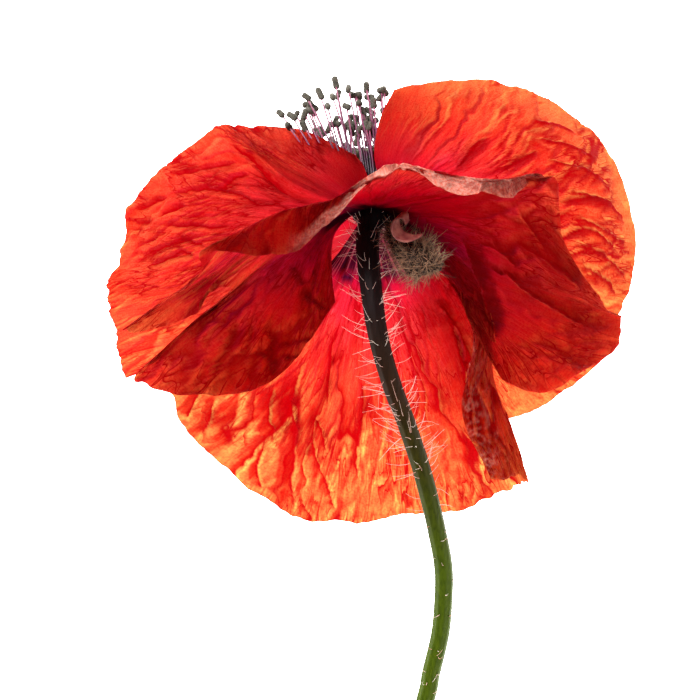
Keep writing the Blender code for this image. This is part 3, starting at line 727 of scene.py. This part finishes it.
LEFT_FOLDS = [
    (1.2, 0.8, [(-18.8, 10.2), (-17.7, 8.4), (-16.0, 7.1), (-13.8, 5.1), (-12.0, 3.6), (-9.7, 2.0),
        (-6.6, 0.7)]),
    (0.7, 0.6, [(-9.7, 0.3), (-12.0, 1.1), (-14.8, 1.1), (-16.0, 2.0), (-17.7, 2.8), (-20.0, 3.3),
        (-22.0, 3.6), (-24.6, 3.3), (-27.3, 2.4)]),
    (0.8, 0.5, [(-15.7, 5.1), (-17.7, 5.1), (-19.3, 4.1), (-20.3, 3.3)]),
    (0.6, 0.5, [(-17.3, 6.8), (-19.6, 6.8), (-22.0, 6.4), (-24.6, 5.8), (-26.9, 5.4)]),
    (0.6, 0.5, [(-17.7, -1.5), (-19.5, -1.7), (-21.1, -1.7), (-23.0, -1.4), (-25.3, -1.4), (-27.9, -1.2)]),
    (0.6, 0.5, [(-21.3, -4.4), (-22.6, -3.9), (-24.6, -3.4), (-26.6, -3.9), (-28.6, -4.5), (-30.4, -5.5)]),
    (0.7, 0.5, [(-22.6, -6.0), (-24.0, -5.2), (-25.0, -4.7), (-25.9, -5.3), (-27.9, -6.2), (-29.6, -7.0)]),
    (0.6, 0.5, [(-26.6, 2.6), (-28.6, 2.1), (-30.3, 1.3), (-31.4, 0.8)]),
    (0.9, 0.5, [(-28.1, -0.4), (-26.4, 0.5), (-24.5, 1.3)]),
    # A wide painted shadow under the front petal's left flap.
    (2.6, 0.2, [(-13.7, -5.5), (-16.5, -5.9), (-19.6, -6.6), (-22.0, -8.2), (-24.1, -10.0)]),
]
petal_left = petal(
    "petal_left",
    LEFT_RIBS,
    angles=(-35, -132),
    along=0.6,
    counts=(320, 148),
    span=66.0,
    sizes=((4.2, 24, 0.35, 0.5), (1.9, 12, 0.27, 1.0), (1.3, 8, 0.14, 0.9), (0.8, 5, 0.06, 0.5)),
    laid=LEFT_FOLDS,
    slant=-0.35,
    flush=(0.24, 0.72),
    seed=42,
)
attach(petal_left, "root")
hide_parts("petal_left")


# ----------------------------------------
# Front petal. The outer petal on top, a hood whose middle stands up with a
# turned-back margin and whose two lobes hang over the side petals.
# ----------------------------------------
FRONT_RIBS = [
    [(-3.0, -0.7, 1.8), (-4.9, -3.0, 1.0), (-5.2, -6.4, 0.0), (-5.1, -9.0, -1.2), (-4.8, -11.1, -2.5)],
    [(-3.4, -0.8, 2.0), (-6.0, -4.2, 1.2), (-7.7, -9.4, -0.5), (-9.9, -15.2, -3.0), (-12.2, -20.8, -5.5)],
    [(-3.6, -0.7, 2.3), (-7.3, -3.8, 2.0), (-11.2, -9.4, 0.3), (-16.4, -16.5, -3.5), (-21.6, -23.4, -7.5)],
    [(-3.9, -0.4, 2.8), (-8.2, -3.2, 3.0), (-13.8, -7.7, 1.8), (-21.6, -14.6, -2.5), (-30.3, -21.4, -9.0)],
    [(-4.0, -0.3, 3.2), (-8.5, -3.0, 3.8), (-11.8, -5.1, 3.8), (-17.7, -9.6, 1.0), (-24.8, -15.7, -4.0)],
    [(-4.0, -0.1, 3.5), (-8.6, -2.7, 4.5), (-11.4, -4.5, 4.6), (-14.7, -6.6, 3.6), (-18.1, -10.0, 2.0)],
    [(-4.2, 0.0, 4.0), (-8.8, -2.2, 5.3), (-12.1, -3.8, 5.6), (-16.0, -5.9, 5.0), (-20.3, -9.8, 3.5)],
    [(-4.3, 0.1, 4.5), (-9.2, -1.7, 6.0), (-13.8, -3.5, 6.5), (-18.6, -7.2, 4.5), (-23.9, -13.4, 0.5)],
    [(-4.3, 0.3, 5.0), (-9.2, -1.4, 7.0), (-14.2, -2.9, 7.5), (-20.3, -7.4, 4.5), (-32.0, -14.7, -5.5)],
    [(-4.4, 0.3, 5.2), (-9.2, -1.2, 8.0), (-14.2, -2.3, 8.8), (-19.0, -4.8, 7.5), (-22.2, -8.2, 5.0)],
    [(-4.4, 0.4, 5.5), (-9.2, -0.9, 9.0), (-14.2, -2.0, 9.5), (-19.0, -3.5, 8.5), (-21.6, -4.8, 6.5)],
    [(-4.3, 0.7, 6.5), (-6.9, 0.1, 11.0), (-10.5, 0.1, 13.5), (-13.8, -1.2, 13.0), (-14.7, -5.7, 10.0)],
    [(-3.8, 0.9, 7.0), (-5.6, 0.9, 12.0), (-7.7, 0.9, 15.0), (-9.2, -0.1, 15.0), (-9.9, -4.8, 12.5)],
    [(-2.7, 1.2, 7.5), (-3.8, 1.7, 13.0), (-4.5, 1.7, 16.5), (-4.9, 1.2, 17.0), (-5.3, -1.4, 15.0)],
    [(-1.2, 1.4, 7.5), (-1.2, 2.7, 13.0), (-0.7, 3.8, 17.0), (0.0, 4.4, 18.3), (0.4, 3.8, 17.5)],
    [(0.4, 1.4, 7.5), (1.4, 3.0, 13.0), (2.9, 4.5, 17.0), (4.2, 5.7, 19.0), (4.8, 5.1, 18.3)],
    [(2.0, 1.3, 7.2), (4.0, 2.7, 12.0), (6.6, 4.0, 16.5), (9.0, 4.8, 19.0), (10.3, 2.2, 18.0)],
    [(3.1, 1.0, 6.5), (6.4, 2.2, 11.0), (10.3, 3.2, 15.0), (14.2, 4.2, 17.5), (14.4, 2.2, 16.5)],
    [(3.8, 0.8, 6.0), (7.9, 2.0, 9.5), (12.9, 3.0, 13.0), (17.4, 4.2, 15.5), (18.1, 2.0, 14.0)],
    [(4.3, 0.4, 5.0), (9.0, 1.4, 8.0), (14.4, 2.7, 11.0), (20.0, 4.2, 13.0), (23.3, 4.7, 12.0)],
    [(4.5, -0.1, 4.0), (9.6, -0.1, 6.5), (15.7, -0.4, 8.5), (21.3, -1.2, 8.0), (24.6, -3.0, 6.0)],
    [(4.5, -0.8, 3.3), (9.9, -2.2, 5.0), (16.8, -4.8, 5.5), (23.9, -7.7, 3.0), (29.5, -10.8, -2.0)],
    [(4.3, -1.4, 2.8), (9.8, -4.2, 3.5), (16.4, -8.1, 3.0), (24.6, -11.3, -1.5), (32.6, -13.1, -8.0)],
    [(4.0, -2.1, 2.2), (9.5, -5.9, 2.0), (15.7, -11.3, 0.5), (23.3, -15.9, -4.0), (30.4, -18.1, -10.0)],
    [(3.8, -2.6, 1.6), (9.2, -7.2, 0.8), (14.8, -13.7, -2.0), (19.4, -18.5, -5.0), (22.8, -22.8, -9.0)],
    [(3.6, -2.8, 1.3), (9.3, -6.2, 0.8), (13.2, -11.8, -1.6), (15.4, -17.2, -4.5), (17.2, -21.4, -7.5)],
    [(3.5, -3.0, 1.0), (9.6, -4.5, 1.2), (11.2, -8.5, -0.2), (12.2, -13.2, -1.5), (15.4, -17.0, -4.0)],
    [(3.5, -2.7, 2.0), (11.6, -3.2, 3.4), (14.0, -8.0, 2.6), (15.4, -13.0, 0.6), (15.9, -16.4, -2.0)],
]
FRONT_FOLDS = [
    # The first draws painted shadow along the right edge of the folded tongue.
    (1.2, 0.9, [(11.7, -2.5), (12.9, -5.1), (14.4, -9.2), (15.6, -12.9), (16.0, -16.0)]),
    (0.8, 0.5, [(13.4, -11.3), (14.8, -14.2), (16.0, -16.2)]),
    (1.8, 0.7, [(14.3, -6.4), (16.4, -7.3), (17.9, -7.7), (19.7, -9.5), (22.4, -11.3), (24.6, -12.6),
        (27.5, -14.2), (32.0, -14.6)]),
    (1.5, 0.6, [(17.9, -3.0), (21.5, -5.2), (24.6, -7.3), (27.5, -9.7)]),
    (1.2, 0.6, [(20.6, -16.6), (22.8, -17.1), (25.1, -18.2), (26.9, -19.6), (28.9, -19.6)]),
    (1.2, 0.5, [(13.4, -4.1), (15.7, -4.3), (17.9, -5.7), (18.8, -7.0)]),
    (1.2, 0.5, [(18.8, 0.8), (20.2, -1.2), (21.5, -3.0), (22.4, -4.8)]),
    (1.0, 0.6, [(-17.7, -13.4), (-17.9, -15.3), (-18.9, -17.3), (-20.1, -19.7), (-20.3, -21.3)]),
    (0.9, 0.6, [(-14.1, -14.4), (-12.9, -16.1), (-13.1, -18.7), (-12.3, -20.9)]),
    (0.9, 0.6, [(-14.9, -17.1), (-13.5, -18.3), (-11.8, -19.5)]),
    (0.9, 0.6, [(-11.9, -17.9), (-10.0, -18.5), (-7.8, -17.9)]),
    (0.7, 0.5, [(-11.8, -16.9), (-9.4, -16.3), (-7.0, -15.9)]),
    (0.8, 0.5, [(-9.0, -10.2), (-7.6, -11.2), (-5.6, -12.8)]),
    (0.8, 0.5, [(-10.6, -6.6), (-9.6, -8.0), (-9.0, -9.4)]),
]
petal_front = petal(
    "petal_front",
    FRONT_RIBS,
    angles=(-70, 70),
    along=-0.3,
    counts=(480, 100),
    span=120.0,
    sizes=((5.5, 24, 0.45, 0.6), (2.6, 13, 0.25, 0.7), (1.5, 8, 0.12, 0.6), (0.9, 5, 0.06, 0.4)),
    laid=FRONT_FOLDS,
    ruffle=0.5,
    slant=0.1,
    flush=(0.02, 0.64),
    # Painted shade deepens the red, most over the hood's middle ribs.
    depth=[(0, 0.2), (9, 0.3), (13, 1.0), (20, 1.0), (23, 0.2)],
    margin=(12.0, 18.6, 0.90, 0.60),
    seed=63,
)
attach(petal_front, "root")
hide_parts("petal_front")


# ----------------------------------------
# Stem. One grown piece with the receptacle at its top, a ribbed green rod
# cut straight across at its lower end, darkened through brown to near black
# towards the flower by painted shade.
# ----------------------------------------
STEM_RADIUS = 1.2
STEM_TOP = (0.85, 0.45, -0.1, -0.7)
STEM_LINE = [
    (-0.1, -1.4, 0.9), (-0.5, -4.0, 1.9), (0.0, -10.0, 3.5), (1.0, -16.5, 4.0), (2.7, -22.4, 3.6),
    (4.4, -26.9, 2.8), (6.4, -32.8, 1.2), (7.9, -38.4, -0.6), (8.7, -42.0, -2.0),
    (9.4, -45.8, -3.4), (9.5, -49.3, -4.8), (9.1, -54.7, -6.9), (7.9, -60.2, -9.0),
    (7.3, -63.3, -10.0), (4.4, -73.7, -13.0), (2.7, -88.0, -14.75),
]


def unit(vectors):
    """The same directions, each one long."""
    return vectors / np.maximum(np.linalg.norm(vectors, axis=-1, keepdims=True), 1e-9)


def tubes(name, paths, radii, sides, reference, surface, layers=None):
    """Many closed tubes in one mesh, one per path, each end shut by one flat face.

    Each ring is the path's point + radius (cos a side + sin a other), where
    side and other are square to the path. `radii` is spread over the tubes,
    rings and sides, and each of the `layers` over the tubes and rings.
    """
    count, rings = paths.shape[:2]
    along = unit(np.gradient(paths, axis=1))
    side = unit(np.cross(along, reference))
    other = np.cross(along, side)
    turn = np.arange(sides) * 2 * np.pi / sides
    round_it = np.cos(turn)[:, None] * side[:, :, None] + np.sin(turn)[:, None] * other[:, :, None]
    radii = np.broadcast_to(radii, (count, rings, sides))
    points = (paths[:, :, None] + radii[..., None] * round_it).reshape(-1, 3)
    index = np.arange(count * rings * sides).reshape(count, rings, sides)
    after = np.roll(index, -1, axis=2)
    quads = np.stack([index[:, :-1], after[:, :-1], after[:, 1:], index[:, 1:]], -1).reshape(-1, 4)
    ends = np.concatenate([index[:, 0, ::-1], index[:, -1]])
    spread = {}
    for layer, values in (layers or {}).items():
        spread[layer] = np.repeat(np.broadcast_to(values, (count, rings)), sides)
    return new_piece(name, points, [quads, ends], surface, spread)


# Green low down, darkened through brown to near black towards the flower by painted shade.
STEM_TONES_AND_SHADE = [
    (0.00, (0.006, 0.002, 0.003)),
    (0.14, (0.009, 0.003, 0.003)),
    (0.26, (0.026, 0.010, 0.003)),
    (0.36, (0.034, 0.032, 0.002)),
    (0.50, (0.056, 0.086, 0.002)),
    (1.00, (0.080, 0.120, 0.003)),
]
STREAK_SHADE = (0.45, 0.50, 0.40, 1.0)
STREAKS_PER_METRE = (2600.0, 320.0, 2600.0)
stem_skin, tree, skin = new_material("stem_skin")
place = node(tree, "ShaderNodeTexCoord").outputs["Object"]
streaks = clouds(tree, stretched(tree, place, STREAKS_PER_METRE), 1.0, 3.0, 0.6)
tones = tone_ramp(tree, kept(tree, "down"), STEM_TONES_AND_SHADE)
streak_depth = carried(tree, streaks, 0.4, 0.7, 0.8)
give(tree, skin, Base_Color=tint(tree, "MULTIPLY", streak_depth, tones, STREAK_SHADE))
give(tree, skin, Roughness=0.55, Specular_IOR_Level=0.08, Normal=relief(tree, streaks, 0.4, 0.2))

STEM_RINGS = 420
STEM_SIDES = 40
STEM_REFERENCE = np.array([0.31, 0.2, 1.0])
stem_points = np.concatenate([[around_axis(0, 0, along) for along in STEM_TOP], STEM_LINE])
stem_path = through(stem_points, np.linspace(0, len(stem_points) - 1, STEM_RINGS))
stem_run = np.concatenate([[0], np.cumsum(np.linalg.norm(np.diff(stem_path, axis=0), axis=1))])
stem_round = np.linspace(0, 2 * np.pi, STEM_SIDES, endpoint=False)
# It swells at the receptacle, where the petals are seated, and thins over its first 20 mm.
swelling = 0.9 * np.exp(-(((stem_run - 0.9) / 1.4) ** 2)) + 0.35 * np.exp(-((stem_run / 16.0) ** 2))
dents = waves(stem_run[:, None] / 4.0, stem_round[None, :] * 1.3, 5)
ribbing = 0.035 * np.cos(9 * stem_round + 0.4)[None, :] + 0.03 * dents
stem = tubes(
    "stem",
    stem_path[None],
    STEM_RADIUS + swelling[:, None] + ribbing,
    STEM_SIDES,
    STEM_REFERENCE,
    stem_skin,
    {"down": stem_run / 100},
)
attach(stem, "root")
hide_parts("stem")


# ----------------------------------------
# Stem hairs. Stiff white hairs stand off the stem all round, thickest just
# under the flower, each tapering and bent a little.
# ----------------------------------------
HAIR_TONES = [(0.0, (0.85, 0.50, 0.42)), (1.0, (0.95, 0.88, 0.80))]
hair_white, tree, skin = new_material("hair_white")
hair_tone = tone_ramp(tree, kept(tree, "pick"), HAIR_TONES)
give(tree, skin, Base_Color=hair_tone, Roughness=0.45)
let_through(tree, skin, hair_tone, 0.5)


def hairs(name, feet, headings, lengths, bends, rings, sides, radii, surface, rng):
    """Tapering hairs, each foot + length (heading t + bend t squared) for t from 0 to 1, off the table."""
    t = np.linspace(0, 1, rings)[None, :, None]
    paths = feet[:, None] + lengths[:, None, None] * (headings[:, None] * t + bends[:, None] * t**2)
    paths[:, :, 2] = np.maximum(paths[:, :, 2], TABLE_LEVEL + 0.1)
    taper = np.linspace(*radii, rings)[:, None]
    return tubes(name, paths, taper, sides, HAIR_REFERENCE, surface, {"pick": rng.random((len(feet), 1))})


# How many hairs grow on each stretch, given as its start and length from the receptacle.
HAIR_STRETCHES = ((60, 0.5, 5), (230, 3, 34), (130, 36, 62))
HAIR_RADII = (0.036, 0.012)
HAIR_ROOT = 1.1  # how far from the stem's middle a hair starts, in mm
HAIR_REFERENCE = np.array([0.13, 0.29, 0.9])
rng = np.random.default_rng(8)
hair_run = np.concatenate([start + long * rng.random(many) for many, start, long in HAIR_STRETCHES])
HAIRS = len(hair_run)
hair_turn = rng.random(HAIRS) * 2 * np.pi
hair_at = np.interp(hair_run, stem_run, np.arange(STEM_RINGS))
hair_foot = through(stem_path, hair_at)
hair_along = unit(through(np.gradient(stem_path, axis=0), hair_at))
hair_side = unit(np.cross(hair_along, STEM_REFERENCE))
hair_other = np.cross(hair_along, hair_side)
hair_out = np.cos(hair_turn)[:, None] * hair_side + np.sin(hair_turn)[:, None] * hair_other
hair_heading = hair_out + hair_along * rng.normal(-0.1, 0.3, HAIRS)[:, None]
hair_bend = -hair_along * rng.normal(0.28, 0.34, HAIRS)[:, None] + rng.normal(0, 0.12, (HAIRS, 3))
hair_length = np.where(hair_run < 45, 1.6 + 1.7 * rng.random(HAIRS), 1.0 + 1.2 * rng.random(HAIRS))
hair_foot = hair_foot + hair_out * HAIR_ROOT
stem_hairs = hairs(
    "stem_hairs", hair_foot, hair_heading, hair_length, hair_bend,
    rings=5, sides=4, radii=HAIR_RADII, surface=hair_white, rng=rng,
)
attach(stem_hairs, "root")


# ----------------------------------------
# Sepal. The one sepal that did not drop: a withered boat, brown, bristly on
# its back and smooth and pinkish inside, where its margin has curled over.
# ----------------------------------------
SEPAL_SPINE = [(2.0, -1.1, 1.95), (3.1, -3.5, 4.2), (4.9, -5.2, 6.6), (7.0, -6.1, 7.4), (9.2, -7.0, 6.8)]
SEPAL_HALVES = [0.35, 1.3, 2.1, 2.0, 0.5]
SEPAL_OUT = np.array([-0.45, 0.35, 0.82])
SEPAL_SWEEP = 2.3
SEPAL_WALL, CURL_WALL = 0.25, 0.22
SEPAL_ROWS, SEPAL_COLUMNS = 60, 70


def mottle_group():
    """A node group: Color runs from First to Second as noise of this Scale climbs, and Normal bumps with it.

    The noise is read at the point's own place, and its climb from 0.35 to
    0.70 is the whole run. Rise is the bump's height in metres.
    """
    group = bpy.data.node_groups.new("mottle", "ShaderNodeTree")
    for name, kind in (("Scale", "Float"), ("First", "Color"), ("Second", "Color"), ("Rise", "Float")):
        group.interface.new_socket(name=name, in_out="INPUT", socket_type=f"NodeSocket{kind}")
    for name, kind in (("Color", "Color"), ("Normal", "Vector")):
        group.interface.new_socket(name=name, in_out="OUTPUT", socket_type=f"NodeSocket{kind}")
    given = node(group, "NodeGroupInput").outputs
    place = node(group, "ShaderNodeTexCoord").outputs["Object"]
    noise = clouds(group, place, given["Scale"], 4.0, 0.6)
    share = carried(group, noise, 0.35, 0.70)
    bump = node(group, "ShaderNodeBump", in_Strength=0.6, in_Distance=given["Rise"], in_Height=noise)
    colour = tint(group, "MIX", share, given["First"], given["Second"])
    node(group, "NodeGroupOutput", in_Color=colour, in_Normal=bump.outputs["Normal"])
    return group


mottle = mottle_group()


def mottled(name, scale, first, second, roughness, rise):
    """A material mottled between two tones by noise at this scale, with a bump this many mm high."""
    made, tree, skin = new_material(name)
    spots = node(tree, "ShaderNodeGroup", node_tree=mottle, in_Scale=scale, in_Rise=rise * MM)
    give(tree, spots, First=(*first, 1.0), Second=(*second, 1.0))
    give(tree, skin, Base_Color=spots.outputs["Color"], Normal=spots.outputs["Normal"])
    give(tree, skin, Roughness=roughness, Specular_IOR_Level=0.15)
    return made


def boat(spine, halves, out, sweep, rows, columns):
    """A rolled boat: round the spine, an arc of each half-width, swept either side of the outward line."""
    line = through(spine, np.linspace(0, len(spine) - 1, rows))
    half = through(np.array(halves)[:, None], np.linspace(0, len(halves) - 1, rows))
    along = unit(np.gradient(line, axis=0))
    side = unit(np.cross(along, out))
    up = np.cross(side, along)
    turn = np.linspace(-sweep, sweep, columns)[None, :, None]
    crumple = 1 + 0.16 * waves(np.linspace(0, 5, rows)[:, None], np.linspace(0, 6, columns)[None, :], 90)
    facing = np.sin(turn) * side[:, None] + np.cos(turn) * up[:, None]
    return line[:, None] + half[:, None] * (facing * crumple[:, :, None] - up[:, None]), facing


sepal_skin = mottled("sepal_skin", 1400.0, (0.006, 0.003, 0.002), (0.030, 0.014, 0.007), 0.75, 0.3)
sepal_grid, sepal_facing = boat(SEPAL_SPINE, SEPAL_HALVES, SEPAL_OUT, SEPAL_SWEEP, SEPAL_ROWS, SEPAL_COLUMNS)
sepal = grid_mesh("sepal", sepal_grid, sepal_skin, SEPAL_WALL)
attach(sepal, "root")
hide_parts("sepal")

# The curled margin, a smooth ribbon that hooks back on itself.
CURL_LINE = [
    (6.3, -3.3, 8.4), (5.4, -3.7, 8.9), (4.4, -3.9, 9.0), (3.2, -3.5, 8.8), (2.6, -2.4, 8.8),
    (2.9, -1.2, 8.9), (3.9, -0.9, 8.9), (4.4, -1.7, 8.6),
]
sepal_inside = mottled("sepal_inside", 900.0, (0.16, 0.03, 0.03), (0.36, 0.12, 0.09), 0.45, 0.1)
CURL_HANGS = np.array([0.75, 0.75, -0.9])
CURL_ROWS, CURL_COLUMNS = 90, 10
curl_line = through(CURL_LINE, np.linspace(0, len(CURL_LINE) - 1, CURL_ROWS))
curl_half = 0.35 + np.sin(np.linspace(0, np.pi, CURL_ROWS)) ** 0.5
curl_width = CURL_HANGS * curl_half[:, None]
curl_grid = curl_line[:, None] + curl_width[:, None] * np.linspace(0, 1, CURL_COLUMNS)[None, :, None]
sepal_curl = grid_mesh("sepal_curl", curl_grid, sepal_inside, CURL_WALL)
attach(sepal_curl, "root")

# Bristles over the back of the boat, tan and tangled.
BRISTLE_TONES = [(0.0, (0.03, 0.012, 0.007)), (1.0, (0.50, 0.27, 0.15))]
bristle_tan, tree, skin = new_material("bristle_tan")
bristle_tone = tone_ramp(tree, kept(tree, "pick"), BRISTLE_TONES)
give(tree, skin, Base_Color=bristle_tone, Roughness=0.6)
BRISTLES = 1300
BRISTLE_RADII = (0.038, 0.014)
rng = np.random.default_rng(17)
pick_row = rng.integers(6, 58, BRISTLES)
pick_column = rng.integers(4, 66, BRISTLES)
bristle_out = sepal_facing[pick_row, pick_column] + rng.normal(0, 0.55, (BRISTLES, 3))
bristle_length = 0.5 + 0.8 * rng.random(BRISTLES)
bristle_bend = rng.normal(0, 0.65, (BRISTLES, 3))
bristle_foot = sepal_grid[pick_row, pick_column]
sepal_bristles = hairs(
    "sepal_bristles", bristle_foot, bristle_out, bristle_length, bristle_bend,
    rings=4, sides=3, radii=BRISTLE_RADII, surface=bristle_tan, rng=rng,
)
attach(sepal_bristles, "root")


# ----------------------------------------
# Pistil. The seed capsule, a ribbed green barrel narrowed at its foot, and
# the flat scalloped disc of velvety rays that caps it.
# ----------------------------------------
CAPSULE_RADIUS = 2.2
DISC_RADIUS = 2.9
DISC_RAYS = 10
CAPSULE_ROWS, CAPSULE_SIDES = 48, 120
DISC_ROWS, DISC_SIDES = 60, 240
# Each pair is a height along the flower's axis and the share of the radius there.
CAPSULE_SHAPE = [(1.15, 0.30), (1.6, 0.40), (2.4, 0.56), (3.6, 0.80), (5.0, 0.96), (6.4, 1.0), (7.6, 0.86)]
DISC_SHAPE = [
    (7.55, 0.8), (7.7, 0.98), (7.85, 1.0), (8.05, 0.97), (8.25, 0.8), (8.4, 0.5), (8.48, 0.25),
    (8.5, 0.04),
]


def closed_lathe(name, degrees, radii, alongs, surface, layers=None):
    """A turned shape round the flower's axis, one ring per row, its two ends shut by one face each."""
    rings = around_axis(np.broadcast_to(degrees, radii.shape), radii, np.broadcast_to(alongs, radii.shape))
    rows, sides = radii.shape
    index = np.arange(rows * sides).reshape(rows, sides)
    after = np.roll(index, -1, axis=1)
    quads = np.stack([index[:-1], after[:-1], after[1:], index[1:]], -1).reshape(-1, 4)
    ends = np.stack([index[0, ::-1], index[-1]])
    return new_piece(name, rings.reshape(-1, 3), [quads, ends], surface, layers)


capsule_skin = mottled("capsule_skin", 1800.0, (0.060, 0.095, 0.030), (0.150, 0.190, 0.085), 0.5, 0.1)
capsule_turn = np.linspace(0, 360, CAPSULE_SIDES, endpoint=False)
capsule_shape = through(CAPSULE_SHAPE, np.linspace(0, len(CAPSULE_SHAPE) - 1, CAPSULE_ROWS))
belly = np.sin(np.linspace(0, np.pi, CAPSULE_ROWS))[:, None]
fluting = 0.035 * belly * np.cos(DISC_RAYS * np.radians(capsule_turn))
capsule_radii = capsule_shape[:, 1:] * CAPSULE_RADIUS * (1 + fluting)
capsule = closed_lathe("capsule", capsule_turn, capsule_radii, capsule_shape[:, :1], capsule_skin)
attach(capsule, "root")
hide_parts("pistil")

DISC_TONES = [(0.35, (0.12, 0.14, 0.07)), (0.65, (0.035, 0.012, 0.022))]
disc_velvet, tree, skin = new_material("disc_velvet")
disc_tone = tone_ramp(tree, kept(tree, "ray"), DISC_TONES)
give(tree, skin, Base_Color=disc_tone, Roughness=0.8, Sheen_Weight=0.3)
disc_turn = np.linspace(0, 360, DISC_SIDES, endpoint=False)
disc_shape = through(DISC_SHAPE, np.linspace(0, len(DISC_SHAPE) - 1, DISC_ROWS))
disc_top = ramp(disc_shape[:, :1], 7.9, 8.2)
ray = np.clip(np.cos(DISC_RAYS * np.radians(disc_turn)) * 1.6 - 0.5, 0, 1) * disc_top
scallop = 1 + 0.05 * np.abs(np.cos(DISC_RAYS / 2 * np.radians(disc_turn)))
disc_radii = disc_shape[:, 1:] * DISC_RADIUS * scallop
disc_rise = disc_shape[:, :1] + 0.16 * ray * np.clip(disc_shape[:, 1:] * 3, 0, 1)
disc = closed_lathe("stigma_disc", disc_turn, disc_radii, disc_rise, disc_velvet, {"ray": ray})
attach(disc, "root")


# ----------------------------------------
# Stamens. Rings of thin purple filaments round the capsule, each carrying a
# two-lobed anther dusty with dark grey-green pollen.
# ----------------------------------------
STAMENS_GROWN = 150
STAMEN_LENGTH = 15.4
ANTHER_LENGTH = 1.6
ANTHER_RADIUS = 0.45
FILAMENT_RINGS = 12
GOLDEN_TURN = 2 * np.pi * 0.381966
FILAMENT_RADII = (0.13, 0.10)
FILAMENT_TONES = [
    (0.00, (0.010, 0.003, 0.012)),
    (0.35, (0.030, 0.008, 0.025)),
    (0.70, (0.200, 0.030, 0.090)),
    (1.00, (0.340, 0.080, 0.150)),
]
filament_skin, tree, skin = new_material("filament_skin")
filament_tone = tone_ramp(tree, kept(tree, "rise"), FILAMENT_TONES)
give(tree, skin, Base_Color=filament_tone, Roughness=0.4)

rng = np.random.default_rng(11)
ring_of = np.arange(STAMENS_GROWN) % 4 / 3  # 0 for the innermost ring, 1 for the outermost
turn = np.arange(STAMENS_GROWN) * GOLDEN_TURN + rng.normal(0, 0.05, STAMENS_GROWN)
across = np.cos(turn)[:, None] * SIDEWAYS + np.sin(turn)[:, None] * UPWARD
raised = np.sin(turn)
squeeze = 1 - 0.40 * np.minimum(np.cos(turn), 0.2) - np.where(raised > 0, 0.68 * raised, -0.4 * raised)
spread = np.radians((20 + 22 * ring_of + rng.normal(0, 2.5, STAMENS_GROWN)) * squeeze)
foot = (1.15 + 0.68 * ring_of)[:, None] * across + (1.25 - 0.1 * ring_of)[:, None] * AXIS
heading = np.cos(spread)[:, None] * AXIS + np.sin(spread)[:, None] * across - 0.07 * UPWARD - 0.08 * SIDEWAYS
long = STAMEN_LENGTH * (0.62 + 0.46 * rng.random(STAMENS_GROWN))
lowest = (TABLE_LEVEL + 1.2 - foot[:, 2]) / np.minimum(heading[:, 2], -1e-3) - ANTHER_LENGTH
long = np.minimum(long, np.where(heading[:, 2] < 0, lowest, STAMEN_LENGTH * 2))
# Those that would stand out of the open petals above them did not grow.
tips = foot + heading * long[:, None]
clear = (tips[:, 1] > 5.8 - 0.45 * tips[:, 0]) | (tips[:, 2] < -6)
foot, heading, long, across, ring_of = (values[clear] for values in (foot, heading, long, across, ring_of))
STAMENS = len(foot)
t = np.linspace(0, 1, FILAMENT_RINGS)[None, :, None]
bow = across * (1.5 - 0.5 * ring_of)[:, None] + rng.normal(0, 0.25, (STAMENS, 3))
filament_paths = foot[:, None] + heading[:, None] * long[:, None, None] * t
filament_paths = filament_paths + bow[:, None] * np.sin(np.pi * t**0.7)
filaments = tubes(
    "stamen_filaments",
    filament_paths,
    np.linspace(*FILAMENT_RADII, FILAMENT_RINGS)[:, None],
    6,
    np.array([0.9, 0.1, 0.4]),
    filament_skin,
    {"rise": np.linspace(0, 1, FILAMENT_RINGS)},
)
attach(filaments, "root")
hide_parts(*[f"stamen_{number:02d}" for number in range(1, 49)])

# Anthers sit askew on their filaments. Each is a swelling tube, pinched along its two sides.
ANTHER_MARKS = np.array([-0.50, -0.47, -0.40, -0.22, 0.0, 0.22, 0.40, 0.47, 0.50])
ANTHER_SWELL = np.array([0.15, 0.55, 0.85, 1.00, 0.90, 0.98, 0.85, 0.55, 0.15])
ANTHER_LOBES = np.array([0.82, 1.0, 1.0, 1.0, 0.82, 1.0, 1.0, 1.0])
anther_dust = mottled("anther_dust", 5200.0, (0.040, 0.036, 0.030), (0.150, 0.138, 0.105), 0.85, 0.1)
tip = filament_paths[:, -1]
tilt = unit(heading + rng.normal(0, 0.75, (STAMENS, 3)))
anther_long = ANTHER_LENGTH * (0.85 + 0.3 * rng.random(STAMENS))
anther_paths = tip[:, None] + tilt[:, None] * anther_long[:, None, None] * ANTHER_MARKS[None, :, None]
anther_radii = ANTHER_RADIUS * ANTHER_SWELL[:, None] * ANTHER_LOBES
anthers = tubes("stamen_anthers", anther_paths, anther_radii, 8, np.array([0.35, 0.8, 0.45]), anther_dust)
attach(anthers, "root")
